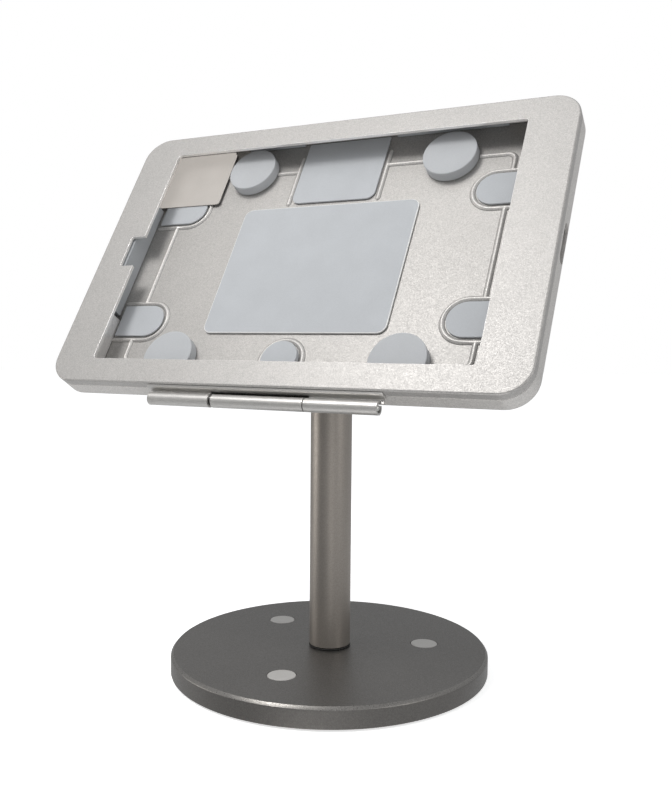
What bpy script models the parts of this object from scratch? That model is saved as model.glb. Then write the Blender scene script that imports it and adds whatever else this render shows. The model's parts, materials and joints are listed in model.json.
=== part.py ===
"""Tablet stand: round weighted base, tubular pole, tilting and turning enclosure with a hinged bezel.

Every number in this file is in millimetres or degrees, and the mesh helpers turn millimetres into metres.
The world frame stands on the underside of the base: +Z is up and the enclosure faces -Y.
Enclosure pieces are drawn in face coordinates: x to the right, y up the face, z out of the face,
with the origin at the centre of the bezel's front face, so a piece at depth d behind it has z = -d.
"""
import math

import bmesh
import bpy
from mathutils import Matrix, Vector

MM = 0.001
GAP = 0.3
FIT = 0.35

# Base
BASE_RADIUS = 96.0
BASE_LOW = 1.0
BASE_TOP = 13.0
BASE_CHAMFER = 1.4
PAD_RADIUS = 91.0
PAD_THICKNESS = 0.7
CAP_RADIUS = 8.1
CAP_CIRCLE = 58.3
CAP_DEPTH = 3.0
CAP_ANGLES = {"front": 270.0, "right": 30.0, "left": 150.0}
FIXING_HOLE_RADIUS = 3.3

# Pole
POLE_RADIUS = 12.5
POLE_BORE = 10.9
POLE_LOW = 14.4
POLE_TOP = 206.7
BOLT_RADIUS = 5.0

# Tilt joint
TILT_BACK = 32.3
FACE_CENTRE_Y = -37.4
FACE_CENTRE_Z = 253.9
MOUNT_Y = -6.0
TONGUE_HALF = 8.2
WASHER = 1.1
EAR = 3.0
EYE_RADIUS = 12.4
TILT_BOLT_RADIUS = 4.0

# Enclosure: a bezel pan over a tray pan
WIDTH = 287.6
HEIGHT = 186.6
CORNER = 16.0
OPENING_WIDTH = 231.6
OPENING_HEIGHT = 155.7
OPENING_CORNER = 2.0
BEZEL_PLATE = 2.0
SKIRT = 1.5
SKIRT_DEPTH = 5.0
SHEET = 1.6
FLOOR = 15.4
BACK = 17.0
NOTCH_DEPTH = 10.0
NOTCH_HEIGHT = 22.4
SLOT_LENGTH = 24.0
SLOT_WIDTH = 7.0
SLOT_CENTRE_DEPTH = 10.8
CAMERA_WINDOW = 30.0
CAMERA_CENTRE = (-104.0, 67.0)

# Pressed beads on the tray floor
BEAD_RADIUS = 1.3
RIB_RADIUS = 1.17
BEAD_SINK = 0.15
RIB_RUN_IN = 0.17
FIELD_X = 107.5
FIELD_TOP = 68.0
FIELD_LOW = -71.0
FIELD_CORNER = 4.5
POCKET_X = 100.3
POCKET_Y = 42.6
POCKET_BEAD = 13.1
POCKET_PAD = 10.8
POCKET_END = 121.3
FINGER_X = 29.8
ROUND_PAD_Y = -68.5
ROUND_PAD_RADIUS = 11.0

# Foam
DISC_RADIUS = 16.0
DISC_FRONT = 8.8
DISC_CENTRES = {
    "top_left": (-61.0, 68.6),
    "top_right": (70.4, 67.3),
    "bottom_left": (-72.0, -69.4),
    "bottom_right": (70.6, -70.0),
}
THIN_PAD = 1.1
CENTRE_PAD_WIDTH = 115.6
CENTRE_PAD_HEIGHT = 90.4
TOP_PAD_WIDTH = 55.0
TOP_PAD_LOW = 42.1
TABLET_HALF_WIDTH = 124.3
TABLET_HALF_HEIGHT = 89.4

# Bezel hinge
HINGE_Y = -100.0
HINGE_DEPTH = 5.5
KNUCKLE_RADIUS = 3.6
PIN_RADIUS = 1.5
HINGE_HALF = 71.0
MIDDLE_KNUCKLE_HALF = 27.7
KNUCKLE_GAP = 0.6
LEAF = 1.4

# Cam lock
LOCK_X = 134.0
LOCK_Y = 66.0
LOCK_BARREL = 5.0
LOCK_PLUG = 3.4
CAM_REACH = 9.5


def clear_scene():
    for old in list(bpy.data.objects):
        bpy.data.objects.remove(old, do_unlink=True)


def new_collection(name):
    collection = bpy.data.collections.new(name)
    bpy.context.scene.collection.children.link(collection)
    return collection


def material(name, colour, roughness, metallic):
    made = bpy.data.materials.new(name)
    made.use_nodes = True
    shader = made.node_tree.nodes["Principled BSDF"]
    shader.inputs["Base Color"].default_value = (*colour, 1.0)
    shader.inputs["Roughness"].default_value = roughness
    shader.inputs["Metallic"].default_value = metallic
    return made


clear_scene()
PARTS = new_collection("tablet_stand")
CUTTERS = new_collection("cutters")

SILVER = material("silver_powder_coat", (0.62, 0.61, 0.59), 0.42, 0.55)
BRONZE_GREY = material("bronze_grey_coat", (0.20, 0.19, 0.175), 0.45, 0.6)
STEEL = material("zinc_plated_steel", (0.55, 0.55, 0.54), 0.3, 0.95)
FOAM = material("grey_foam", (0.50, 0.52, 0.54), 0.9, 0.0)
PLASTIC_GREY = material("grey_plastic_cap", (0.52, 0.52, 0.51), 0.5, 0.0)
PLASTIC_WARM = material("warm_grey_cover", (0.56, 0.52, 0.48), 0.6, 0.0)
RUBBER = material("black_rubber", (0.02, 0.02, 0.02), 0.8, 0.0)
NYLON = material("white_nylon", (0.8, 0.8, 0.77), 0.5, 0.0)


# Axes of motion, as empties. Each keeps where it lies in face coordinates.

def empty(name, parent, location, rotation=(0.0, 0.0, 0.0)):
    made = bpy.data.objects.new(name, None)
    made.empty_display_size = 0.02
    made.parent = parent
    made.location = Vector(location) * MM
    made.rotation_euler = rotation
    PARTS.objects.link(made)
    return made


def face_to_world(point):
    tilt = math.radians(90.0 - TILT_BACK)
    turned_point = Matrix.Rotation(tilt, 3, "X") @ Vector(point)
    return turned_point + Vector((0.0, FACE_CENTRE_Y, FACE_CENTRE_Z))


def depth_on_pole_axis(height_on_face):
    """Depth at which the line through the face at that height, square to it, meets the pole's axis."""
    start = face_to_world((0.0, height_on_face, 0.0))
    return -start.y / math.cos(math.radians(TILT_BACK))


PIVOT_DEPTH = depth_on_pole_axis(MOUNT_Y)
PIVOT = face_to_world((0.0, MOUNT_Y, -PIVOT_DEPTH))
TILT = (math.radians(90.0 - TILT_BACK), 0.0, 0.0)

ORIGINS = {
    "tilt_axis": Vector((0.0, MOUNT_Y, -PIVOT_DEPTH)),
    "swivel_axis": Vector((0.0, MOUNT_Y, -BACK)),
    "bezel_axis": Vector((0.0, HINGE_Y, -HINGE_DEPTH)),
    "lock_axis": Vector((LOCK_X, LOCK_Y, -BACK)),
}
AXES = {"tilt_axis": empty("tilt_axis", None, PIVOT, TILT)}
for axis_name, axis_parent in (
    ("swivel_axis", "tilt_axis"),
    ("bezel_axis", "swivel_axis"),
    ("lock_axis", "swivel_axis"),
):
    offset = ORIGINS[axis_name] - ORIGINS[axis_parent]
    AXES[axis_name] = empty(axis_name, AXES[axis_parent], offset)


# Mesh helpers

def finish(name, mesh, look, axis=None, cutter=False):
    """Put a mesh in the scene: on an axis, whose pieces are drawn in face coordinates, or in the world."""
    made = bpy.data.objects.new(name, mesh)
    if cutter:
        CUTTERS.objects.link(made)
        made.hide_render = True
        made.display_type = "WIRE"
    else:
        PARTS.objects.link(made)
        mesh.materials.append(look)
    if axis:
        made.parent = AXES[axis]
        made.location = -ORIGINS[axis] * MM
    return made


def smooth(mesh, angle=35.0):
    mesh.shade_smooth()
    mesh.set_sharp_from_angle(angle=math.radians(angle))


def circle(radius, centre=(0.0, 0.0), steps=24):
    return arc(radius, centre, 0.0, 360.0, steps)[:-1]


def arc(radius, centre, start, end, steps):
    points = []
    for step in range(steps + 1):
        angle = math.radians(start + (end - start) * step / steps)
        points.append((centre[0] + radius * math.cos(angle), centre[1] + radius * math.sin(angle)))
    return points


def rounded_rectangle(width, height, radius, centre=(0.0, 0.0), steps=5):
    points = []
    for corner, (side_x, side_y) in enumerate([(1, -1), (1, 1), (-1, 1), (-1, -1)]):
        middle = (centre[0] + side_x * (width / 2 - radius), centre[1] + side_y * (height / 2 - radius))
        start = 90.0 * corner - 90.0
        points += arc(radius, middle, start, start + 90.0, steps)
    return points


def hexagon(across_flats, centre=(0.0, 0.0), turn=30.0):
    radius = across_flats / 2 / math.cos(math.radians(30.0))
    return [point for point in arc(radius, centre, turn, turn + 360.0, 6)[:-1]]


TO_X_AXIS = Matrix(((0, 0, 1), (1, 0, 0), (0, 1, 0)))
TO_Y_AXIS = Matrix(((0, 1, 0), (0, 0, 1), (1, 0, 0)))


def flat_mesh(name, loops, low, high, along="Z"):
    """A flat outline, with holes, given thickness. Along X its outline is drawn in y and z."""
    curve = bpy.data.curves.new(name, "CURVE")
    curve.dimensions = "2D"
    curve.fill_mode = "BOTH"
    curve.extrude = (high - low) / 2 * MM
    for loop in loops:
        spline = curve.splines.new("POLY")
        spline.points.add(len(loop) - 1)
        spline.use_cyclic_u = True
        for point, (x, y) in zip(spline.points, loop):
            point.co = (x * MM, y * MM, 0.0, 1.0)
    return welded_mesh(name, curve, (low + high) / 2, along)


def welded_mesh(name, curve, middle, along="Z"):
    holder = bpy.data.objects.new(name, curve)
    bpy.context.scene.collection.objects.link(holder)
    seen = holder.evaluated_get(bpy.context.evaluated_depsgraph_get())
    mesh = bpy.data.meshes.new_from_object(seen)
    bpy.data.objects.remove(holder, do_unlink=True)
    bpy.data.curves.remove(curve)
    mesh.transform(Matrix.Translation((0.0, 0.0, middle * MM)))
    if along == "X":
        mesh.transform(TO_X_AXIS.to_4x4())
    if along == "Y":
        mesh.transform(TO_Y_AXIS.to_4x4())
    mesh.name = name
    weld(mesh)
    return mesh


def weld(mesh):
    work = bmesh.new()
    work.from_mesh(mesh)
    bmesh.ops.remove_doubles(work, verts=work.verts, dist=0.00001)
    bmesh.ops.recalc_face_normals(work, faces=work.faces)
    work.to_mesh(mesh)
    work.free()


def flat(name, loops, low, high, look, axis=None, along="Z", cutter=False):
    mesh = flat_mesh(name, loops, low, high, along)
    smooth(mesh)
    return finish(name, mesh, look, axis, cutter)


def turned(name, profile, look, axis=None, steps=32, ring=False, at=(0.0, 0.0), along="Z", cutter=False):
    """A turned piece. The profile of (radius, height) runs down the outer side; a ring's comes back inside."""
    work = bmesh.new()
    points = [work.verts.new((radius * MM, 0.0, height * MM)) for radius, height in profile]
    pairs = list(zip(points, points[1:]))
    if ring:
        pairs.append((points[-1], points[0]))
    for pair in pairs:
        work.edges.new(pair)
    centre = (at[0] * MM, at[1] * MM, 0.0)
    bmesh.ops.spin(work, geom=work.verts[:] + work.edges[:], cent=(0.0, 0.0, 0.0), axis=(0.0, 0.0, 1.0),
                   angle=math.tau, steps=steps, use_merge=True)
    bmesh.ops.remove_doubles(work, verts=work.verts, dist=0.000002)
    bmesh.ops.recalc_face_normals(work, faces=work.faces)
    bmesh.ops.translate(work, verts=work.verts, vec=centre)
    mesh = bpy.data.meshes.new(name)
    work.to_mesh(mesh)
    work.free()
    if along == "X":
        mesh.transform(TO_X_AXIS.to_4x4())
    if along == "Y":
        mesh.transform(TO_Y_AXIS.to_4x4())
    smooth(mesh)
    return finish(name, mesh, look, axis, cutter)


def washer(name, inner, outer, low, high, look, axis=None, at=(0.0, 0.0), along="Z", steps=24):
    profile = [(inner, high), (outer, high), (outer, low), (inner, low)]
    return turned(name, profile, look, axis, steps, ring=True, at=at, along=along)


def loft(name, rings, look, axis=None, closed=False, cutter=False):
    """Skin a row of rings with equal numbers of points. An open row is capped, a closed one joins up."""
    work = bmesh.new()
    rows = [[work.verts.new(Vector(point) * MM) for point in ring] for ring in rings]
    following = rows[1:] + rows[:1] if closed else rows[1:]
    for row, other in zip(rows, following):
        for step, corner in enumerate(row):
            after = (step + 1) % len(row)
            work.faces.new((corner, row[after], other[after], other[step]))
    if not closed:
        work.faces.new(rows[0][::-1])
        work.faces.new(rows[-1])
    bmesh.ops.recalc_face_normals(work, faces=work.faces)
    mesh = bpy.data.meshes.new(name)
    work.to_mesh(mesh)
    work.free()
    smooth(mesh)
    return finish(name, mesh, look, axis, cutter)


def boolean(target, other, operation):
    change = target.modifiers.new(operation.lower() + "_" + other.name, "BOOLEAN")
    change.operation = operation
    change.object = other
    change.solver = "EXACT"


def pan_ring(inset, depth):
    outline = rounded_rectangle(WIDTH - 2 * inset, HEIGHT - 2 * inset, CORNER - inset)
    return [(x, y, -depth) for x, y in outline]


# Base

def cap_place(angle):
    turn = math.radians(angle)
    return (CAP_CIRCLE * math.cos(turn), CAP_CIRCLE * math.sin(turn))


def base():
    plate = turned("base_plate", [
        (0.0, BASE_TOP),
        (BASE_RADIUS - BASE_CHAMFER, BASE_TOP),
        (BASE_RADIUS, BASE_TOP - BASE_CHAMFER),
        (BASE_RADIUS, BASE_LOW + 0.5),
        (BASE_RADIUS - 0.5, BASE_LOW),
        (0.0, BASE_LOW),
    ], BRONZE_GREY, steps=72)
    bolt_seat = turned("bolt_seat_cutter", [
        (0.0, BASE_TOP + 2.0),
        (BOLT_RADIUS + GAP, BASE_TOP + 2.0),
        (BOLT_RADIUS + GAP, 8.5),
        (10.0, 8.5),
        (10.0, BASE_LOW - 2.0),
        (0.0, BASE_LOW - 2.0),
    ], None, steps=24, cutter=True)
    boolean(plate, bolt_seat, "DIFFERENCE")

    places = [cap_place(angle) for angle in CAP_ANGLES.values()]
    for side, angle in CAP_ANGLES.items():
        place = cap_place(angle)
        hole = turned("fixing_hole_cutter_" + side, [
            (0.0, BASE_TOP + 2.0),
            (CAP_RADIUS + GAP, BASE_TOP + 2.0),
            (CAP_RADIUS + GAP, BASE_TOP - CAP_DEPTH),
            (FIXING_HOLE_RADIUS, BASE_TOP - CAP_DEPTH),
            (FIXING_HOLE_RADIUS, BASE_LOW - 2.0),
            (0.0, BASE_LOW - 2.0),
        ], None, steps=24, at=place, cutter=True)
        boolean(plate, hole, "DIFFERENCE")
        turned("base_cap_" + side, [
            (0.0, BASE_TOP + 0.15),
            (CAP_RADIUS - 0.4, BASE_TOP + 0.15),
            (CAP_RADIUS, BASE_TOP - 0.2),
            (CAP_RADIUS, BASE_TOP - CAP_DEPTH + GAP),
            (0.0, BASE_TOP - CAP_DEPTH + GAP),
        ], PLASTIC_GREY, steps=24, at=place)

    pad_holes = [circle(FIXING_HOLE_RADIUS + 0.4, place, 12) for place in places]
    flat("base_rubber_pad", [circle(PAD_RADIUS, steps=48), circle(12.0)] + pad_holes, 0.0, PAD_THICKNESS, RUBBER)


# Pole

def pole():
    washer("pole_foot_ring", BOLT_RADIUS + GAP, POLE_RADIUS + 0.6, BASE_TOP + GAP, POLE_LOW - GAP, RUBBER, steps=32)
    tube = washer("pole_tube", POLE_BORE, POLE_RADIUS, POLE_LOW, POLE_TOP, BRONZE_GREY, steps=40)
    turned("pole_foot_plug", [
        (0.0, 46.0),
        (POLE_BORE - GAP, 46.0),
        (POLE_BORE - GAP, POLE_LOW + 0.1),
        (BOLT_RADIUS + GAP, POLE_LOW + 0.1),
        (BOLT_RADIUS + GAP, 38.0),
        (0.0, 38.0),
    ], STEEL, steps=24)
    turned("pole_bolt", [
        (0.0, 34.0),
        (BOLT_RADIUS, 34.0),
        (BOLT_RADIUS, 6.4),
        (8.0, 6.4),
        (8.0, 1.6),
        (3.4, 1.6),
        (3.4, 4.2),
        (0.0, 4.2),
    ], STEEL, steps=24)
    washer("pole_bolt_washer", BOLT_RADIUS + GAP, 9.6, 6.7, 8.2, STEEL)

    screw_height = 192.0
    hole = turned("set_screw_cutter", [(0.0, 20.0), (2.8, 20.0), (2.8, 7.0), (0.0, 7.0)], None,
                  steps=16, at=(screw_height, 0.0), along="Y", cutter=True)
    boolean(tube, hole, "DIFFERENCE")
    turned("pole_set_screw", [
        (0.0, 10.6),
        (1.3, 10.6),
        (1.3, 12.2),
        (2.5, 12.2),
        (2.5, 7.4),
        (0.0, 7.4),
    ], STEEL, steps=16, at=(screw_height, 0.0), along="Y")

    collar_low = POLE_TOP + GAP
    head = turned("pole_head", [
        (0.0, PIVOT.z + EYE_RADIUS + 1.0),
        (POLE_RADIUS, PIVOT.z + EYE_RADIUS + 1.0),
        (POLE_RADIUS, collar_low),
        (POLE_BORE - GAP, collar_low),
        (POLE_BORE - GAP, collar_low - 24.0),
        (0.0, collar_low - 24.0),
    ], BRONZE_GREY, steps=40)
    boolean(head, hole, "DIFFERENCE")
    tongue_low = collar_low + 3.0
    blank_height = PIVOT.z + 20.0
    flank = 20.0
    for side, name in ((-1, "left"), (1, "right")):
        outline = [(-flank, tongue_low), (flank, tongue_low), (flank, blank_height), (-flank, blank_height)]
        inner, outer = sorted((side * TONGUE_HALF, side * flank))
        boolean(head, flat("tongue_flat_cutter_" + name, [outline], inner, outer, None, along="X", cutter=True),
                "DIFFERENCE")
    crown = [(-flank, blank_height), (-flank, PIVOT.z)]
    crown += arc(EYE_RADIUS, (0.0, PIVOT.z), 180.0, 0.0, 16)
    crown += [(flank, PIVOT.z), (flank, blank_height)]
    boolean(head, flat("crown_cutter", [crown], -flank, flank, None, along="X", cutter=True), "DIFFERENCE")
    bore = circle(TILT_BOLT_RADIUS + FIT, (0.0, PIVOT.z))
    boolean(head, flat("eye_bore_cutter", [bore], -flank, flank, None, along="X", cutter=True), "DIFFERENCE")


# Tilt head: a bent bracket that turns on the tongue's bolt and carries the enclosure's swivel

def tilt_head():
    ear_inner = TONGUE_HALF + 2 * GAP + WASHER
    ear_outer = ear_inner + EAR
    base_front = -22.7
    base_back = -25.7
    pivot = (MOUNT_Y, -PIVOT_DEPTH)
    plate = rounded_rectangle(46.0, 46.0, 4.0, (0.0, MOUNT_Y), 3)
    bracket = flat("tilt_bracket", [plate, circle(TILT_BOLT_RADIUS + GAP, (0.0, MOUNT_Y), 16)],
                   base_back, base_front, BRONZE_GREY, "tilt_axis")
    for side, name in ((-1, "left"), (1, "right")):
        outline = [(MOUNT_Y + 17.0, base_back + 1.0), (MOUNT_Y - 17.0, base_back + 1.0)]
        outline += arc(11.0, pivot, 200.0, 340.0, 12)
        hole = circle(TILT_BOLT_RADIUS + FIT, pivot, 16)
        inner, outer = sorted((side * ear_inner, side * ear_outer))
        ear = flat("ear_joiner_" + name, [outline, hole], inner, outer, None, "tilt_axis", "X", True)
        boolean(bracket, ear, "UNION")
        washer("tilt_friction_washer_" + name, TILT_BOLT_RADIUS + GAP, 10.5,
               *sorted((side * (TONGUE_HALF + GAP), side * (TONGUE_HALF + GAP + WASHER))),
               NYLON, "tilt_axis", at=pivot, along="X")
        washer("tilt_washer_" + name, TILT_BOLT_RADIUS + GAP, 8.4,
               *sorted((side * (ear_outer + GAP), side * (ear_outer + GAP + 1.4))),
               STEEL, "tilt_axis", at=pivot, along="X")

    seat = ear_outer + 2 * GAP + 1.4
    turned("tilt_bolt", [
        (0.0, seat + 5.4),
        (3.4, seat + 5.4),
        (3.4, seat + 8.0),
        (6.5, seat + 8.0),
        (6.5, seat),
        (TILT_BOLT_RADIUS, seat),
        (TILT_BOLT_RADIUS, -seat - 7.6),
        (0.0, -seat - 7.6),
    ], STEEL, "tilt_axis", steps=24, at=pivot, along="X")
    flat("tilt_nut", [hexagon(13.0, pivot), circle(TILT_BOLT_RADIUS + GAP, pivot, 16)],
         -seat - 6.5, -seat, STEEL, "tilt_axis", "X")

    centre = (0.0, MOUNT_Y)
    washer("swivel_friction_disc", TILT_BOLT_RADIUS + GAP, 22.0, -22.4, -21.6, NYLON, "tilt_axis", at=centre, steps=32)
    washer("swivel_washer", TILT_BOLT_RADIUS + GAP, 8.8, -27.2, -26.0, STEEL, "tilt_axis", at=centre)
    flat("swivel_nut", [hexagon(13.0, centre), circle(TILT_BOLT_RADIUS + GAP, centre, 16)],
         -32.5, -27.5, STEEL, "tilt_axis")
    turned("swivel_bolt", [
        (0.0, -17.6),
        (7.8, -17.6),
        (7.8, -19.3),
        (TILT_BOLT_RADIUS, -19.3),
        (TILT_BOLT_RADIUS, -33.2),
        (0.0, -33.2),
    ], STEEL, "tilt_axis", steps=24, at=centre)


# Enclosure: mounting plate, tray, foam and lock

def mounting():
    centre = (0.0, MOUNT_Y)
    plate = flat("mount_plate", [rounded_rectangle(95.0, 95.0, 7.0, centre, 4)], -BACK - GAP - 4.0, -BACK - GAP,
                 BRONZE_GREY, "swivel_axis")
    recess = turned("swivel_recess_cutter", [
        (0.0, -BACK + 2.0),
        (8.4, -BACK + 2.0),
        (8.4, -19.6),
        (TILT_BOLT_RADIUS + FIT, -19.6),
        (TILT_BOLT_RADIUS + FIT, -25.0),
        (0.0, -25.0),
    ], None, "swivel_axis", 24, at=centre, cutter=True)
    boolean(plate, recess, "DIFFERENCE")
    names = ("upper_left", "upper_right", "lower_left", "lower_right")
    places = [(x, MOUNT_Y + y) for y in (37.5, -37.5) for x in (-37.5, 37.5)]
    sinks = []
    for name, place in zip(names, places):
        sink = turned("screw_sink_cutter_" + name, [
            (0.0, -FLOOR + 1.0),
            (4.2, -FLOOR + 1.0),
            (4.2, -FLOOR),
            (2.3, -BACK - 0.2),
            (2.3, -24.0),
            (0.0, -24.0),
        ], None, "swivel_axis", 16, at=place, cutter=True)
        boolean(plate, sink, "DIFFERENCE")
        sinks.append(sink)
        turned("mount_screw_" + name, [
            (0.0, -FLOOR - 0.05),
            (3.7, -FLOOR - 0.05),
            (2.0, -BACK - 0.2),
            (2.0, -BACK - GAP - 3.8),
            (0.0, -BACK - GAP - 3.8),
        ], STEEL, "swivel_axis", 16, at=place)
    return sinks


def bead_paths():
    """Centre lines of the pressed beads: closed pockets first, then the ribs that end on them."""
    pockets = []
    for side in (-1, 1):
        for height in (POCKET_Y, -POCKET_Y):
            bend = arc(POCKET_BEAD, (POCKET_X, height), 90.0, 270.0, 12)
            path = [(POCKET_END, height + POCKET_BEAD)] + bend + [(POCKET_END, height - POCKET_BEAD)]
            pockets.append([(side * x, y) for x, y in path])
    arch = arc(POCKET_BEAD, (0.0, ROUND_PAD_Y), 180.0, 0.0, 12)
    pockets.append([(-POCKET_BEAD, -86.0)] + arch + [(POCKET_BEAD, -86.0)])
    pockets += [[(side * FINGER_X, 78.0), (side * FINGER_X, 43.2)] for side in (-1, 1)]

    ribs = []
    pocket_top = POCKET_Y + POCKET_BEAD - RIB_RUN_IN
    pocket_low = POCKET_Y - POCKET_BEAD + RIB_RUN_IN
    for side in (-1, 1):
        upper, lower = ("top_left", "bottom_left") if side < 0 else ("top_right", "bottom_right")
        upper_in, upper_out = disc_span(upper, FIELD_TOP)
        lower_in, lower_out = disc_span(lower, FIELD_LOW)
        turn_x = FIELD_X - FIELD_CORNER
        top_turn = arc(FIELD_CORNER, (turn_x, FIELD_TOP - FIELD_CORNER), 90.0, 0.0, 4)
        low_turn = arc(FIELD_CORNER, (turn_x, FIELD_LOW + FIELD_CORNER), -90.0, 0.0, 4)
        halves = [
            [(FINGER_X - RIB_RUN_IN, FIELD_TOP), (upper_in, FIELD_TOP)],
            [(upper_out, FIELD_TOP)] + top_turn + [(FIELD_X, pocket_top)],
            [(FIELD_X, pocket_low), (FIELD_X, -pocket_low)],
            [(lower_out, FIELD_LOW)] + low_turn + [(FIELD_X, -pocket_top)],
            [(POCKET_BEAD - RIB_RUN_IN, FIELD_LOW), (lower_in, FIELD_LOW)],
        ]
        ribs += [[(side * x, y) for x, y in half] for half in halves]
    return pockets, ribs


def disc_span(name, height):
    """Where a rib at that height stops on each side of a foam disc, as distances from the middle."""
    x, y = DISC_CENTRES[name]
    half = math.sqrt((DISC_RADIUS + FIT) ** 2 - (height - y) ** 2)
    return abs(x) - half, abs(x) + half


def beads(name, paths, radius):
    curve = bpy.data.curves.new(name, "CURVE")
    curve.dimensions = "3D"
    curve.bevel_depth = radius * MM
    curve.bevel_resolution = 2
    curve.use_fill_caps = True
    for path in paths:
        spline = curve.splines.new("POLY")
        spline.points.add(len(path) - 1)
        for point, (x, y) in zip(spline.points, path):
            point.co = (x * MM, y * MM, 0.0, 1.0)
    mesh = welded_mesh(name, curve, -FLOOR - BEAD_SINK)
    return finish(name, mesh, None, "swivel_axis", True)


def tray(sinks):
    rings = [
        pan_ring(3.0, BACK),
        pan_ring(0.9, BACK - 0.9),
        pan_ring(0.0, BACK - 3.0),
        pan_ring(0.0, SKIRT_DEPTH + GAP),
        pan_ring(SKIRT + GAP, SKIRT_DEPTH + GAP),
        pan_ring(SKIRT + GAP, BEZEL_PLATE + GAP),
        pan_ring(SKIRT + GAP + SHEET, BEZEL_PLATE + GAP),
        pan_ring(SKIRT + GAP + SHEET, SKIRT_DEPTH + GAP + SHEET),
        pan_ring(SHEET, SKIRT_DEPTH + GAP + SHEET),
        pan_ring(SHEET, FLOOR),
    ]
    pan = loft("rear_tray", rings, SILVER, "swivel_axis")
    pockets, ribs = bead_paths()
    boolean(pan, beads("pocket_beads", pockets, BEAD_RADIUS), "UNION")
    boolean(pan, beads("rib_beads", ribs, RIB_RADIUS), "UNION")
    for sink in sinks:
        boolean(pan, sink, "DIFFERENCE")
    window = flat("camera_window_cutter", [rounded_rectangle(CAMERA_WINDOW, CAMERA_WINDOW, 6.0, CAMERA_CENTRE, 4)],
                  -BACK - 2.0, -FLOOR + 2.0, None, "swivel_axis", cutter=True)
    boolean(pan, window, "DIFFERENCE")
    slot = rounded_rectangle(SLOT_LENGTH, SLOT_WIDTH, SLOT_WIDTH / 2 - 0.1, (0.0, -SLOT_CENTRE_DEPTH), 4)
    boolean(pan, flat("cable_slot_cutter", [slot], WIDTH / 2 - 5.0, WIDTH / 2 + 2.0, None, "swivel_axis", "X", True),
            "DIFFERENCE")
    lock_hole = circle(LOCK_BARREL + GAP, (LOCK_X, LOCK_Y))
    boolean(pan, flat("lock_hole_cutter", [lock_hole], -BACK - 2.0, -FLOOR + 2.0, None, "swivel_axis", cutter=True),
            "DIFFERENCE")


def pocket_pad(side, height):
    bend = arc(POCKET_PAD, (POCKET_X, height), 90.0, 270.0, 12)
    outline = [(POCKET_END, height + POCKET_PAD)] + bend + [(POCKET_END, height - POCKET_PAD)]
    return [(side * x, y) for x, y in outline]


def foam():
    seat = -FLOOR + GAP
    thin = seat + THIN_PAD
    for name, place in DISC_CENTRES.items():
        flat("foam_disc_" + name, [circle(DISC_RADIUS, place, 32)], seat, -DISC_FRONT, FOAM, "swivel_axis")
    for name, side, height in (
        ("left_upper", -1, POCKET_Y),
        ("left_lower", -1, -POCKET_Y),
        ("right_upper", 1, POCKET_Y),
        ("right_lower", 1, -POCKET_Y),
    ):
        flat("pocket_pad_" + name, [pocket_pad(side, height)], seat, thin, FOAM, "swivel_axis")
    centre_pad = rounded_rectangle(CENTRE_PAD_WIDTH, CENTRE_PAD_HEIGHT, 5.5, (0.0, MOUNT_Y), 4)
    flat("centre_pad", [centre_pad], seat, thin, FOAM, "swivel_axis")
    top_pad = [(TOP_PAD_WIDTH / 2, TABLET_HALF_HEIGHT), (-TOP_PAD_WIDTH / 2, TABLET_HALF_HEIGHT)]
    top_pad += arc(5.5, (-TOP_PAD_WIDTH / 2 + 5.5, TOP_PAD_LOW + 5.5), 180.0, 270.0, 4)
    top_pad += arc(5.5, (TOP_PAD_WIDTH / 2 - 5.5, TOP_PAD_LOW + 5.5), 270.0, 360.0, 4)
    flat("top_pad", [top_pad], seat, thin, FOAM, "swivel_axis")
    flat("bottom_round_pad", [circle(ROUND_PAD_RADIUS, (0.0, ROUND_PAD_Y))], seat, -12.0, FOAM, "swivel_axis")

    edge_low = seat
    edge_high = -BEZEL_PLATE - 0.6
    left = -TABLET_HALF_WIDTH
    strips = {
        "side_strip_left": (left - 4.0, left, -38.2, 44.0),
        "side_strip_right_upper": (-left, -left + 4.0, 16.0, 50.0),
        "side_strip_right_lower": (-left, -left + 4.0, -50.0, -16.0),
    }
    for name, x_low, x_high in (("left", -72.0, -31.5), ("right", 31.5, 100.0)):
        strips["edge_strip_top_" + name] = (x_low, x_high, TABLET_HALF_HEIGHT, TABLET_HALF_HEIGHT + 2.0)
        strips["edge_strip_bottom_" + name] = (x_low, x_high, -TABLET_HALF_HEIGHT - 2.0, -TABLET_HALF_HEIGHT)
    for name, (x_low, x_high, y_low, y_high) in strips.items():
        size = (x_high - x_low, y_high - y_low)
        middle = ((x_low + x_high) / 2, (y_low + y_high) / 2)
        high = -SKIRT_DEPTH - SHEET - 2 * GAP if name.startswith("edge") else edge_high
        flat(name, [rounded_rectangle(*size, 0.6, middle, 2)], edge_low, high, FOAM, "swivel_axis")
    corner = [(-127.5, -41.9), (-127.5, -83.0), (-122.4, -83.0), (-122.4, -41.9)]
    flat("corner_stop_left", [corner], edge_low, edge_high, SILVER, "swivel_axis")

    low_x, high_x, low_y, high_y = -128.5, -80.9, 45.5, 89.2
    cover = [(low_x, low_y)]
    cover += arc(5.0, (high_x - 5.0, low_y + 5.0), -90.0, 0.0, 4)
    cover += [(high_x, high_y - 3.0), (high_x - 2.5, high_y), (low_x, high_y)]
    flat("camera_cover", [cover], -13.7, -12.7, PLASTIC_WARM, "swivel_axis")


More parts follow.
